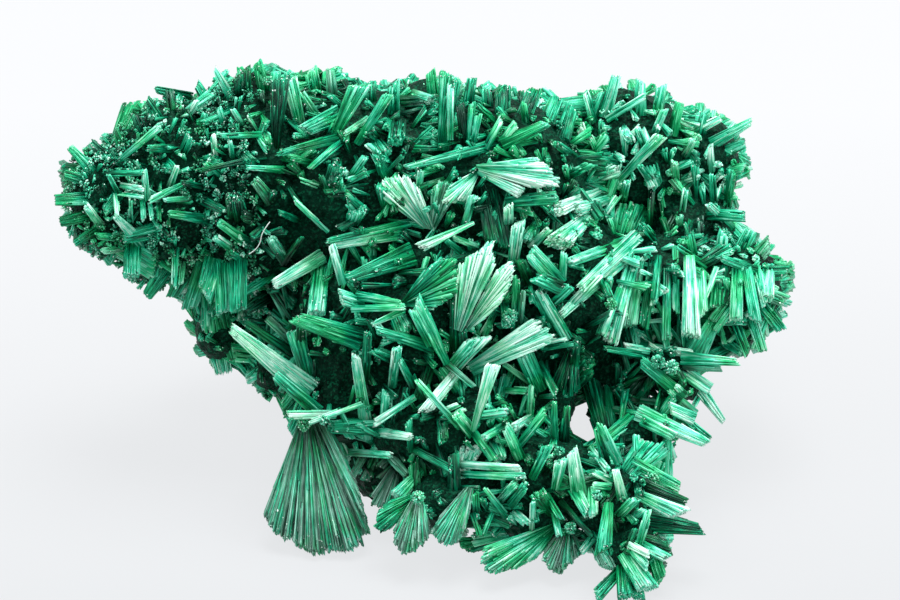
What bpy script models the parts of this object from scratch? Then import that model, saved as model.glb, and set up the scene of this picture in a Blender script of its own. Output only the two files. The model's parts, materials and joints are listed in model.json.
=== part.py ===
"""Malachite specimen: fibrous crystals grown together on a lumpy core, cut flat where it broke off.

The crystals are laid out on the show side, in millimetres across and up the face that looks
30 degrees above the horizon, with a third measure toward the onlooker.
"""

import math
import random

import bmesh
import bpy
from mathutils import Vector, noise
from mathutils.kdtree import KDTree

# Driving dimensions, in millimetres unless noted.
MM = 0.001
SHOW_TILT = math.radians(30.0)
BASE_CENTRE = (-1.3, 16.5, 2.0)
ROOT_DEPTH = 1.5
CORE_SINK = 1.1
CORE_INSET = 0.1
CORE_ROUGHNESS = 0.2
HOLLOW_PITCH = 2.3
HOLLOW_BIAS = 0.3
LARGE_LUMP = 5.0
BURIED_REACH = 0.88

# A crystal's facets, free end and the stalk under one that rides above its neighbours.
SMALL_CRYSTAL = 0.7
TWIST = 0.35
FACET_SWELL = (0.9, 1.12)
RAGGED_END = (-0.06, 0.04)
RAGGED_LENGTH = 3.0
PEAK_HEIGHT = 0.12
END_CLEARANCE = 0.25
FREE_LIFT = 0.95
STALK_SHARE = 0.35
STALK_WIDTH = 0.7

# Fans and druse.
FAN_RIDGE = 0.1
FAN_BOW = 0.3
FAN_ROOT = (0.25, 0.45)
FAN_STALK_SHARE = 0.25
FAN_STALK_WIDTH = 0.6
RIM_TOLERANCE = 0.01
DRUSE_SUNK = 0.45
DRUSE_SWELL = (0.85, 1.15)
DRUSE_FREE_LIFT = 0.3

# Crystals placed by rule.
BACK_SPACING = 2.0
BACK_LENGTH = (2.0, 3.4)
BACK_WIDTH = (1.2, 2.4)
FRONT_SPACING = 1.5
FRONT_LENGTH = (1.3, 2.3)
FRONT_WIDTH = (0.7, 1.2)
TAPER = (0.35, 0.7)
WIDE_END_SHARE = 0.6
ROOT_OVERLAP = 0.5
ROOT_CLEARANCE = 0.8
FLOOR_CLEARANCE = 0.3
LEAN_SPREAD = 0.8
OUTWARD_SHARE = 0.6
OUTLINE_MARGIN = 0.3
SHOW_CLEARANCE = 0.2
NAMED_MARGIN = 0.25
WINDOW_MARGIN = 0.8
SHOWN_ABOVE = 0.3
TRIALS_PER_AREA = 8.0
HEADING_TRIALS = 16

# The foot hangs just clear of the surface over these spans: left to right, front to back.
FOOT_LIFT = 0.25
FOOT_SPANS = (
    ((1.0, 25.0), (-25.0, -11.0)),
    ((3.8, 25.0), (-12.0, -8.0)),
)

TRIANGLE_BUDGET = 9650
SEED = 11
RULE_SEED = 5

# Core lumps: centre (across, up, toward) and half sizes (across, up, toward).
LUMPS = {
    "arm_end": ((-16.9, 20.1, -3.4), (2.6, 3.0, 3.2)),
    "arm_middle": ((-13.9, 20.8, -4.2), (3.6, 4.4, 4.4)),
    "arm_root": ((-9.7, 21.1, -5.0), (4.2, 5.6, 5.8)),
    "crown_left": ((-4.5, 20.6, -5.2), (5.4, 5.3, 6.6)),
    "crown_right": ((1.9, 20.1, -5.2), (5.6, 5.5, 7.0)),
    "heart_left": ((-2.2, 14.0, -4.8), (6.2, 5.6, 7.0)),
    "heart_right": ((4.8, 15.4, -4.8), (5.4, 5.0, 6.6)),
    "lobe_top": ((9.0, 22.3, -8.0), (3.2, 3.7, 4.4)),
    "lobe_top_end": ((12.7, 22.0, -9.4), (2.3, 2.5, 3.8)),
    "lobe_top_neck": ((12.0, 18.5, -7.6), (2.6, 2.4, 3.6)),
    "lobe_right": ((10.4, 15.9, -5.2), (3.4, 2.7, 4.4)),
    "lobe_right_end": ((14.5, 15.7, -5.8), (2.6, 2.5, 3.4)),
    "spur_right": ((10.9, 11.9, -3.2), (1.8, 1.1, 2.6)),
    "spur_joint": ((11.4, 10.6, -2.6), (1.2, 0.9, 2.0)),
    "spur_low": ((9.9, 8.7, -1.2), (1.7, 0.9, 2.2)),
    "recess_right": ((8.7, 10.9, -5.0), (1.9, 2.3, 3.0)),
    "recess_middle": ((4.4, 10.0, -3.4), (2.2, 2.2, 3.4)),
    "recess_low": ((9.0, 7.7, -1.6), (2.1, 1.6, 2.6)),
    "recess_top": ((9.4, 19.3, -9.6), (2.4, 2.0, 3.4)),
    "waist_left": ((-5.2, 9.9, -3.6), (2.7, 2.5, 4.6)),
    "waist": ((0.4, 8.3, -1.8), (4.4, 2.9, 4.6)),
    "foot_left": ((0.6, 5.0, 0.6), (3.2, 1.7, 2.6)),
    "foot_middle": ((4.8, 5.6, 0.6), (3.2, 3.0, 3.2)),
    "foot_right": ((8.4, 4.6, 1.6), (2.1, 2.7, 2.8)),
    "foot_tip": ((9.2, 2.5, 2.6), (1.4, 2.0, 2.4)),
    "tongue": ((-11.7, 14.5, -9.6), (1.5, 2.9, 3.2)),
    "tongue_root": ((-11.2, 18.0, -8.0), (2.4, 3.4, 4.2)),
    "back_left": ((-5.5, 17.0, -9.5), (5.2, 6.0, 5.6)),
    "back_right": ((3.5, 17.5, -10.0), (6.0, 6.0, 5.4)),
    "stump_front": ((-1.4, 8.3, -5.4), (4.8, 4.6, 5.2)),
    "stump_back": ((-1.2, 12.4, -12.4), (6.6, 5.8, 6.4)),
    "crown_knob_left": ((-6.9, 24.2, -5.6), (2.2, 2.2, 3.0)),
    "crown_knob": ((-1.0, 23.9, -5.6), (2.6, 2.3, 3.4)),
    "lobe_bridge": ((6.6, 22.9, -8.5), (2.4, 2.3, 3.6)),
    "lobe_right_low": ((14.3, 13.7, -7.0), (1.9, 1.6, 2.6)),
    "behind_log": ((-8.6, 11.6, -7.0), (1.5, 1.7, 2.6)),
    "arm_under": ((-14.6, 17.3, -5.5), (2.2, 1.7, 2.8)),
}

# Crystals: root (across, up), free end (across, up), width at root and free end,
# rise of the free end toward the show side, lift of the root off the core.
LEFT_ARM = [
    ((-16.75, 21.85), (-14.4, 23.8), 0.3, 0.5, 0.5, 0.5),
    ((-13.1, 25.2), (-14.9, 25.6), 0.6, 0.35, 0.2, 0.0),
    ((-10.95, 25.1), (-11.9, 26.75), 0.55, 0.3, 0.3, 0.1),
    ((-17.5, 18.75), (-18.25, 19.75), 0.5, 0.4, 0.5, 0.1),
    ((-15.3, 17.7), (-16.8, 19.25), 0.8, 0.3, 0.7, 0.3),
    ((-12.9, 21.0), (-15.2, 19.9), 0.25, 0.45, 0.8, 0.5),
    ((-12.0, 19.0), (-14.1, 19.3), 0.6, 0.35, 0.7, 0.4),
    ((-16.3, 18.1), (-17.8, 18.2), 0.5, 0.35, 0.3, 0.0),
    ((-16.0, 17.7), (-17.5, 17.4), 0.5, 0.35, 0.1, 0.0),
    ((-15.9, 18.2), (-15.95, 16.1), 1.0, 0.95, 1.0, 0.0),
    ((-14.0, 17.0), (-15.3, 15.1), 1.0, 0.6, -0.6, -0.4),
    ((-13.2, 16.6), (-14.1, 15.0), 0.9, 0.6, -0.8, -0.4),
    ((-17.7, 21.2), (-19.1, 22.7), 0.7, 0.4, -0.2, 0.0),
    ((-17.0, 21.9), (-18.1, 23.0), 0.6, 0.4, 0.0, 0.0),
    ((-16.3, 22.3), (-16.9, 23.6), 0.6, 0.4, 0.2, 0.0),
    ((-15.3, 23.2), (-15.9, 24.5), 0.6, 0.45, 0.2, 0.0),
    ((-14.5, 23.9), (-15.3, 25.2), 0.6, 0.4, 0.0, 0.0),
    ((-13.9, 24.2), (-14.1, 25.6), 0.6, 0.45, -0.3, 0.0),
    ((-12.1, 24.8), (-12.8, 26.0), 0.6, 0.4, 0.2, 0.0),
    ((-10.4, 25.3), (-10.4, 26.8), 1.0, 0.9, 0.6, 0.2),
    ((-9.3, 25.4), (-9.7, 27.1), 0.8, 0.5, 0.2, 0.0),
    ((-8.9, 25.2), (-8.7, 26.6), 0.6, 0.5, 0.0, 0.0),
    ((-17.9, 20.9), (-19.4, 21.3), 0.7, 0.5, 0.0, 0.0),
    ((-17.8, 20.1), (-19.85, 20.0), 0.8, 0.55, 0.2, 0.0),
    ((-17.9, 19.3), (-19.6, 18.9), 0.7, 0.5, 0.0, 0.0),
    ((-17.5, 18.7), (-18.9, 17.8), 0.6, 0.4, 0.0, 0.0),
    ((-13.4, 22.3), (-13.0, 23.4), 0.5, 0.4, 0.6, 0.2),
    ((-13.9, 22.6), (-15.2, 22.6), 0.5, 0.35, 0.4, 0.2),
]

TONGUE = [
    ((-12.5, 16.4), (-11.45, 11.25), 1.9, 0.9, -2.2, -0.9),
    ((-11.9, 15.6), (-10.9, 11.9), 1.3, 0.6, -1.8, -0.4),
    ((-12.9, 15.9), (-12.3, 12.3), 1.1, 0.6, -2.0, -0.4),
    ((-12.3, 17.0), (-13.2, 14.4), 1.0, 0.8, -1.6, 1.0),
    ((-11.2, 16.8), (-11.1, 14.2), 1.6, 1.4, 0.4, 0.9),
    ((-11.8, 17.0), (-12.4, 14.9), 1.2, 0.9, 0.8, 1.2),
    ((-10.6, 17.0), (-10.6, 14.3), 1.0, 0.9, 0.6, 1.0),
]

CROWN = [
    ((-8.75, 22.2), (-8.5, 26.3), 0.4, 1.1, 0.4, 0.1),
    ((-7.5, 23.7), (-8.05, 26.2), 0.6, 0.85, 0.4, 0.5),
    ((-5.6, 24.3), (-7.45, 23.4), 1.1, 0.7, 0.7, 0.4),
    ((-5.9, 23.0), (-4.4, 26.0), 0.4, 1.2, 0.8, 0.4),
    ((-5.3, 23.1), (-7.1, 21.5), 0.45, 0.3, 0.7, 0.5),
    ((-4.65, 22.8), (-3.0, 25.4), 0.4, 0.55, 0.8, 0.5),
    ((-6.8, 25.4), (-7.05, 26.8), 0.8, 0.7, 0.3, 0.1),
    ((-5.9, 25.3), (-6.05, 26.7), 0.6, 0.45, 0.2, 0.1),
    ((-2.6, 23.8), (-2.7, 22.8), 1.0, 0.95, 1.6, 0.1),
    ((-2.9, 24.3), (-2.8, 26.2), 0.8, 0.6, 0.2, 0.1),
    ((-2.1, 25.4), (-0.85, 25.0), 0.6, 0.55, 0.6, 0.3),
    ((-0.35, 22.5), (0.1, 26.5), 0.6, 1.3, 0.6, 0.4),
    ((-0.8, 25.0), (-1.0, 26.7), 0.7, 0.5, 0.1, 0.2),
    ((0.9, 24.7), (1.1, 26.2), 0.6, 0.5, 0.2, 0.1),
    ((0.8, 22.7), (0.45, 24.9), 0.5, 0.5, 0.5, 0.3),
    ((4.3, 23.3), (-2.35, 21.6), 0.95, 0.15, 0.6, 0.9),
    ((2.6, 22.8), (5.0, 23.9), 0.75, 0.45, 0.3, 0.8),
    ((2.6, 22.9), (3.35, 23.9), 0.5, 0.45, 0.4, 0.8),
    ((2.6, 24.2), (2.7, 25.8), 0.9, 0.8, -0.8, -0.3),
    ((3.6, 23.9), (4.3, 25.7), 0.9, 0.8, -1.2, -0.6),
    ((4.7, 23.6), (5.4, 25.2), 0.9, 0.7, -1.8, -0.8),
    ((5.6, 23.0), (6.2, 24.9), 1.0, 0.7, -2.0, -0.6),
    ((-4.0, 24.9), (-4.0, 25.9), 0.7, 0.5, 0.0, 0.1),
    ((1.9, 24.6), (1.8, 25.8), 0.6, 0.5, 0.0, 0.0),
    ((-5.6, 23.1), (-8.5, 22.35), 0.55, 0.3, 0.4, 0.7),
    ((0.2, 24.9), (0.6, 26.2), 0.5, 0.7, 0.3, 0.5),
]

LOBE_TOP = [
    ((7.8, 24.2), (8.4, 26.4), 0.7, 0.5, 0.3, 0.2),
    ((7.3, 23.9), (6.8, 25.6), 0.6, 0.35, 0.2, 0.1),
    ((6.9, 22.6), (6.5, 23.9), 0.55, 0.5, 0.6, 0.3),
    ((8.1, 20.6), (10.7, 23.4), 0.35, 0.7, 1.4, 0.8),
    ((10.3, 23.4), (10.85, 24.7), 0.45, 0.4, 0.7, 0.3),
    ((12.2, 23.4), (13.7, 24.2), 0.5, 0.4, 0.5, 0.2),
    ((13.2, 22.9), (15.35, 24.1), 0.7, 0.4, 0.6, 0.2),
    ((11.4, 20.8), (11.3, 22.0), 0.45, 0.4, 0.7, 0.4),
    ((14.0, 19.8), (14.25, 21.6), 0.6, 0.5, 0.6, 0.2),
    ((14.3, 18.6), (12.9, 19.9), 0.5, 0.35, 0.8, 0.6),
    ((8.6, 19.7), (8.9, 21.0), 0.5, 0.4, 0.8, 0.4),
    ((9.6, 24.3), (9.6, 26.2), 0.7, 0.5, 0.2, 0.1),
    ((10.4, 24.1), (10.7, 26.0), 0.6, 0.5, 0.0, 0.1),
    ((11.2, 23.3), (11.6, 25.0), 0.6, 0.5, 0.2, 0.1),
    ((12.6, 23.2), (12.9, 24.5), 0.6, 0.5, 0.2, 0.0),
    ((13.6, 22.4), (15.0, 23.0), 0.7, 0.6, 0.2, 0.0),
    ((13.7, 21.5), (15.05, 21.7), 0.7, 0.6, 0.2, 0.0),
    ((13.2, 20.4), (14.7, 20.3), 0.7, 0.6, 0.4, 0.0),
    ((13.0, 19.3), (14.9, 19.2), 0.7, 0.6, 0.6, 0.2),
    ((9.9, 22.4), (9.4, 23.6), 0.5, 0.4, 0.8, 0.3),
    ((11.8, 22.2), (12.3, 23.1), 0.5, 0.4, 0.7, 0.3),
]

CENTRE = [
    ((-9.0, 20.0), (-9.75, 21.0), 0.7, 0.5, 0.5, 0.2),
    ((-10.6, 19.2), (-10.8, 20.2), 1.2, 1.0, 0.6, 0.0),
    ((-9.9, 17.7), (-11.6, 18.9), 0.6, 0.45, 0.7, 0.2),
    ((-10.5, 17.3), (-11.8, 18.2), 0.5, 0.4, 0.6, 0.1),
    ((-8.3, 17.0), (-9.0, 18.1), 0.7, 0.5, 0.6, 0.2),
    ((-6.4, 17.2), (-8.85, 15.75), 0.85, 0.55, 1.3, 0.7),
    ((-1.9, 18.9), (-6.3, 17.9), 0.5, 0.3, 0.9, 0.9),
    ((-2.3, 18.4), (-6.0, 17.7), 0.8, 0.4, 1.0, 0.6),
    ((-5.35, 15.8), (-5.95, 17.85), 0.45, 0.35, 0.8, 1.6),
    ((1.2, 18.85), (-1.65, 17.55), 0.2, 0.55, 0.9, 1.1),
    ((-1.9, 17.3), (-5.35, 15.95), 1.4, 0.4, 0.9, 0.6),
    ((1.5, 21.0), (2.2, 17.6), 0.6, 0.8, 0.3, -0.1),
    ((2.2, 20.6), (2.9, 17.4), 0.6, 0.8, 0.3, -0.1),
    ((1.4, 21.4), (3.65, 20.3), 0.25, 0.65, 0.9, 0.9),
    ((2.8, 19.9), (5.45, 20.15), 0.7, 0.75, 0.8, 0.7),
    ((2.9, 18.9), (2.9, 19.8), 0.55, 0.5, 0.6, 0.9),
    ((3.15, 16.9), (3.45, 19.1), 0.6, 0.75, 0.7, 1.0),
    ((7.7, 20.6), (5.25, 19.45), 0.3, 0.85, 1.1, 0.9),
    ((8.3, 20.2), (6.3, 19.5), 0.4, 0.7, 0.8, 0.5),
    ((7.3, 19.5), (5.15, 17.5), 0.55, 1.5, 1.2, 1.1),
    ((7.7, 18.9), (7.3, 20.1), 0.5, 0.4, 0.4, 0.3),
    ((9.4, 18.1), (5.8, 16.8), 0.7, 0.4, 1.4, 0.5),
    ((9.0, 17.4), (5.5, 14.2), 0.9, 0.35, 0.8, 0.7),
    ((9.35, 18.15), (6.45, 15.5), 0.9, 0.5, 1.2, 1.3),
    ((5.45, 15.8), (3.95, 17.5), 1.05, 0.85, 0.8, 1.3),
    ((5.5, 15.6), (4.1, 16.25), 0.8, 0.75, 0.6, 1.9),
    ((4.0, 15.9), (3.45, 17.1), 0.6, 0.5, 0.5, 0.4),
    ((-6.4, 16.8), (-6.7, 14.2), 0.9, 0.95, 1.2, 0.7),
    ((-4.5, 13.05), (-8.0, 14.2), 1.3, 0.65, 1.3, 0.9),
    ((-7.45, 12.0), (-7.5, 13.8), 0.6, 0.4, 0.9, 0.6),
    ((-8.9, 16.3), (-10.9, 15.05), 0.6, 0.3, 0.5, 0.3),
    ((-9.2, 15.2), (-10.4, 14.4), 0.8, 0.5, 0.4, 0.0),
    ((-7.9, 12.3), (-10.4, 13.95), 0.6, 0.35, 0.7, 0.5),
    ((-8.0, 13.0), (-9.2, 14.1), 0.5, 0.4, 0.5, 0.4),
    ((-4.4, 14.8), (-5.7, 15.25), 0.8, 0.75, 0.7, 0.6),
    ((-4.6, 15.2), (-2.3, 14.85), 0.6, 0.3, 0.5, 1.0),
    ((-0.8, 12.6), (-3.85, 13.55), 0.7, 0.4, 0.8, 0.9),
    ((-0.15, 11.8), (-1.85, 15.3), 0.45, 0.85, 0.7, 1.8),
    ((-4.25, 10.9), (-4.1, 13.45), 0.5, 0.45, 0.6, 0.8),
    ((-4.1, 8.1), (-4.75, 12.45), 0.8, 0.4, 1.0, 1.3),
    ((-2.9, 10.7), (-2.65, 12.7), 0.45, 0.5, 0.8, 0.8),
    ((-1.85, 10.7), (-2.5, 12.0), 0.45, 0.35, 0.6, 0.7),
    ((-2.7, 12.0), (-3.95, 12.55), 0.7, 0.5, 0.5, 0.5),
    ((0.35, 11.4), (-1.4, 9.25), 0.55, 0.65, 1.2, 1.2),
    ((0.2, 12.3), (0.15, 15.1), 0.5, 0.35, 0.6, 0.5),
    ((0.7, 12.4), (0.6, 13.6), 0.45, 0.4, 0.5, 0.6),
    ((0.3, 11.8), (1.75, 13.5), 0.85, 1.1, 0.8, 1.3),
    ((2.7, 12.4), (0.85, 11.5), 0.9, 0.3, 0.8, 1.7),
    ((1.15, 8.5), (2.15, 11.85), 0.3, 0.8, 0.9, 1.2),
    ((3.2, 13.5), (3.3, 16.3), 0.45, 0.35, 0.6, 0.7),
    ((2.9, 14.9), (2.9, 13.7), 0.9, 0.7, 0.9, 0.2),
    ((5.85, 13.05), (4.4, 15.6), 0.65, 0.45, 0.7, 1.2),
    ((5.45, 14.2), (7.6, 16.4), 0.45, 0.5, 0.7, 0.8),
    ((5.2, 14.9), (6.1, 15.7), 0.45, 0.4, 0.4, 1.1),
    ((7.6, 16.0), (8.05, 15.1), 0.5, 0.35, 0.5, 0.3),
    ((6.7, 13.6), (8.05, 14.4), 0.5, 0.35, 0.6, 0.3),
    ((6.1, 10.3), (6.35, 13.0), 0.5, 0.4, 0.8, 0.5),
    ((4.5, 10.5), (3.6, 12.55), 0.85, 0.95, 0.8, 1.0),
    ((4.5, 11.9), (5.4, 10.15), 0.35, 0.45, 0.9, 0.9),
    ((-10.1, 16.8), (-11.1, 17.4), 0.5, 0.4, 0.5, 0.2),
    ((-4.2, 19.4), (-5.3, 20.4), 0.5, 0.4, 0.7, 0.3),
    ((-4.9, 21.2), (-4.2, 22.2), 0.5, 0.4, 0.7, 0.4),
    ((6.0, 21.3), (7.2, 21.9), 0.5, 0.4, 0.8, 0.3),
    ((6.2, 22.2), (5.2, 22.9), 0.5, 0.4, 0.7, 0.3),
]

LOBE_RIGHT = [
    ((9.2, 17.2), (8.0, 12.75), 0.75, 0.85, 1.3, 1.1),
    ((9.5, 17.0), (9.0, 13.5), 0.6, 0.8, 1.0, 0.5),
    ((10.2, 17.0), (9.7, 13.4), 0.5, 0.5, 0.6, 0.3),
    ((11.3, 17.7), (11.35, 14.15), 0.4, 0.42, 1.0, 0.7),
    ((12.0, 17.2), (12.1, 13.0), 0.6, 1.1, 1.3, 1.0),
    ((12.6, 16.4), (12.7, 14.0), 0.5, 0.6, 1.0, 0.9),
    ((13.6, 16.6), (13.4, 14.4), 1.1, 1.1, 0.4, 0.2),
    ((14.1, 15.3), (13.1, 13.9), 0.5, 0.4, 0.6, 0.5),
    ((14.45, 16.6), (14.35, 13.95), 0.6, 0.7, 0.9, 0.7),
    ((14.9, 16.6), (15.4, 13.7), 0.6, 0.65, 0.9, 0.7),
    ((15.4, 16.7), (15.9, 14.6), 0.5, 0.5, 0.8, 0.7),
    ((16.0, 16.7), (16.0, 15.1), 0.7, 0.6, 0.6, 0.6),
    ((15.4, 16.5), (13.5, 17.15), 0.55, 0.45, 0.7, 0.7),
    ((15.3, 16.9), (16.3, 18.1), 0.9, 0.8, 0.0, -0.2),
    ((15.4, 16.3), (17.3, 16.4), 0.9, 0.8, 0.2, 0.0),
    ((15.5, 15.5), (17.05, 14.9), 0.8, 0.7, 0.2, 0.1),
    ((15.4, 15.0), (16.75, 13.4), 0.8, 0.6, 0.2, 0.1),
    ((15.0, 14.7), (15.75, 12.35), 0.8, 0.55, 0.4, 0.1),
    ((14.2, 14.3), (15.05, 12.1), 0.5, 0.45, 0.6, 0.3),
    ((12.6, 13.8), (14.75, 12.3), 0.8, 0.5, 0.5, 0.2),
    ((13.6, 17.2), (13.8, 18.6), 0.7, 0.5, 0.3, 0.2),
    ((12.2, 17.3), (12.0, 18.5), 0.6, 0.5, 0.2, 0.1),
    ((14.5, 17.3), (15.1, 18.6), 0.7, 0.6, 0.0, 0.0),
    ((10.3, 18.0), (9.6, 18.9), 0.5, 0.4, 0.6, 0.2),
]

SPUR = [
    ((10.0, 12.6), (12.5, 12.25), 0.45, 0.45, 0.4, 0.5),
    ((11.6, 12.1), (14.6, 11.88), 0.75, 0.35, 0.6, 0.3),
    ((11.7, 11.7), (13.7, 11.55), 0.45, 0.3, 0.5, 0.1),
    ((13.1, 10.6), (9.9, 12.8), 0.5, 0.35, 0.3, 1.4),
    ((9.9, 12.2), (7.6, 12.6), 0.45, 0.3, 0.3, 0.5),
    ((11.7, 10.15), (9.45, 12.0), 0.65, 0.55, 0.5, 1.3),
    ((8.5, 10.5), (8.4, 11.9), 0.45, 0.35, 0.5, 0.3),
    ((12.1, 11.2), (13.8, 8.8), 0.85, 0.3, -0.2, 0.0),
    ((9.4, 9.35), (13.0, 7.75), 1.1, 0.5, 1.0, 0.7),
    ((12.2, 9.05), (10.8, 9.7), 0.75, 0.6, 0.6, 1.9),
    ((11.3, 9.4), (13.1, 7.95), 0.5, 0.32, 0.4, 0.6),
    ((9.6, 9.0), (11.4, 8.1), 0.6, 0.5, 0.8, 0.6),
    ((9.8, 8.2), (11.0, 6.8), 1.0, 1.2, -1.6, -1.2),
]

WAIST = [
    ((-5.7, 9.3), (-8.2, 9.25), 0.45, 0.5, 0.6, 0.8),
    ((-7.0, 10.4), (-11.05, 13.65), 1.5, 0.5, 0.9, 0.8),
    ((-6.6, 9.4), (-8.8, 11.3), 0.8, 0.5, 0.6, 0.7),
    ((-3.35, 8.9), (-3.2, 10.55), 0.42, 0.48, 0.6, 0.7),
    ((-3.7, 8.4), (-1.85, 8.2), 0.6, 0.38, 0.6, 0.8),
    ((-2.1, 7.7), (0.2, 6.5), 0.35, 0.5, 0.8, 0.7),
    ((-3.1, 7.3), (-2.1, 6.2), 0.5, 0.45, 0.7, 0.4),
    ((-0.4, 9.4), (-0.3, 7.8), 0.6, 0.6, 0.8, 0.2),
    ((1.1, 8.4), (0.35, 9.3), 0.8, 0.7, 0.7, 0.5),
    ((1.2, 9.2), (2.98, 9.45), 0.5, 0.5, 0.6, 0.6),
    ((2.7, 8.7), (1.65, 8.1), 0.45, 0.4, 0.6, 0.6),
    ((0.3, 6.8), (3.7, 6.6), 0.4, 0.42, 0.8, 1.0),
    ((0.6, 6.3), (3.8, 6.2), 0.35, 0.42, 0.9, 0.8),
    ((5.2, 8.0), (5.2, 10.0), 0.45, 0.25, 0.8, 0.3),
    ((5.65, 7.8), (5.85, 9.75), 0.65, 0.35, 0.7, 0.0),
    ((8.4, 6.9), (7.4, 9.0), 0.5, 0.35, 0.6, 1.0),
    ((7.8, 6.8), (7.25, 8.8), 0.55, 0.35, 0.6, 0.6),
    ((3.5, 7.1), (2.7, 8.85), 0.65, 0.5, 0.7, 0.8),
    ((4.1, 9.2), (3.15, 8.6), 0.35, 0.5, 0.5, 0.9),
    ((3.4, 7.7), (4.9, 9.65), 0.4, 0.5, 0.8, 0.9),
    ((4.1, 6.1), (4.95, 7.95), 0.45, 0.6, 0.9, 0.8),
    ((5.25, 5.6), (5.55, 7.25), 0.45, 0.75, 0.9, 0.8),
    ((6.45, 5.2), (6.05, 7.7), 0.95, 0.6, 1.0, 1.2),
    ((6.2, 5.6), (6.95, 4.25), 0.75, 0.55, 0.8, 1.1),
    ((7.1, 5.6), (7.15, 4.15), 0.6, 0.45, 0.7, 0.9),
    ((8.6, 5.1), (8.2, 6.65), 0.55, 0.38, 0.6, 0.6),
]

FOOT = [
    ((-1.4, 6.5), (-2.7, 5.1), 0.45, 0.9, 0.9, 0.6),
    ((9.0, 6.8), (11.55, 5.55), 1.1, 0.75, -0.3, 0.0),
    ((9.3, 5.9), (11.85, 4.9), 0.8, 0.45, -0.1, 0.0),
    ((9.3, 5.35), (11.85, 4.15), 0.5, 1.1, 0.5, 0.7),
    ((9.2, 4.1), (12.8, 3.55), 1.5, 0.55, 0.0, 0.0),
    ((9.4, 3.1), (11.2, 2.6), 0.9, 0.7, 0.3, 0.2),
    ((9.5, 2.8), (10.95, 2.1), 0.6, 0.5, 0.4, 0.6),
    ((10.0, 2.6), (10.6, 0.75), 0.7, 0.8, 0.4, 0.3),
    ((8.7, 2.4), (9.95, 0.5), 0.9, 1.2, 0.9, 0.6),
    ((9.1, 2.6), (9.95, 1.6), 0.55, 0.5, 0.6, 0.9),
    ((7.9, 4.9), (7.6, 2.2), 0.5, 0.95, 1.0, 0.9),
    ((9.3, 2.6), (9.9, 4.7), 0.4, 0.42, 0.7, 0.8),
    ((7.3, 3.4), (6.5, 2.4), 0.5, 0.4, 0.5, 0.2),
    ((7.2, 3.0), (8.1, 1.3), 0.8, 0.95, 0.8, 0.4),
    ((8.5, 1.6), (7.15, 0.15), 0.6, 0.75, 1.2, 0.4),
    ((8.6, 1.7), (8.7, 0.2), 0.8, 0.9, 1.2, 0.6),
    ((9.2, 1.3), (9.4, 0.1), 0.7, 0.7, 1.0, 0.6),
    ((2.5, 5.0), (3.25, 5.85), 0.4, 0.45, 0.6, 0.7),
    ((3.0, 4.8), (3.75, 5.8), 0.5, 0.5, 0.6, 0.6),
    ((2.6, 3.9), (2.1, 3.2), 0.5, 0.45, 0.5, 0.4),
    ((3.2, 4.4), (3.9, 3.8), 0.5, 0.45, 0.6, 0.4),
    ((8.4, 4.3), (9.3, 5.2), 0.6, 0.5, 0.6, 0.4),
    ((8.9, 4.0), (9.7, 4.6), 0.5, 0.4, 0.6, 0.3),
]

# Curtains behind the left of the waist: hanging slabs seen below the long striped crystal.
BACK_FANS = [
    ((-8.0, 12.0), (-9.9, 11.6), 1.2, 0.8, -1.0, -1.6),
    ((-7.8, 11.4), (-9.9, 10.4), 1.4, 0.9, -1.2, -1.6),
    ((-7.3, 10.8), (-8.6, 9.2), 1.2, 0.7, -0.6, -0.8),
    ((-7.1, 10.4), (-8.1, 8.2), 1.0, 0.5, -0.2, -0.4),
]

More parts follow.
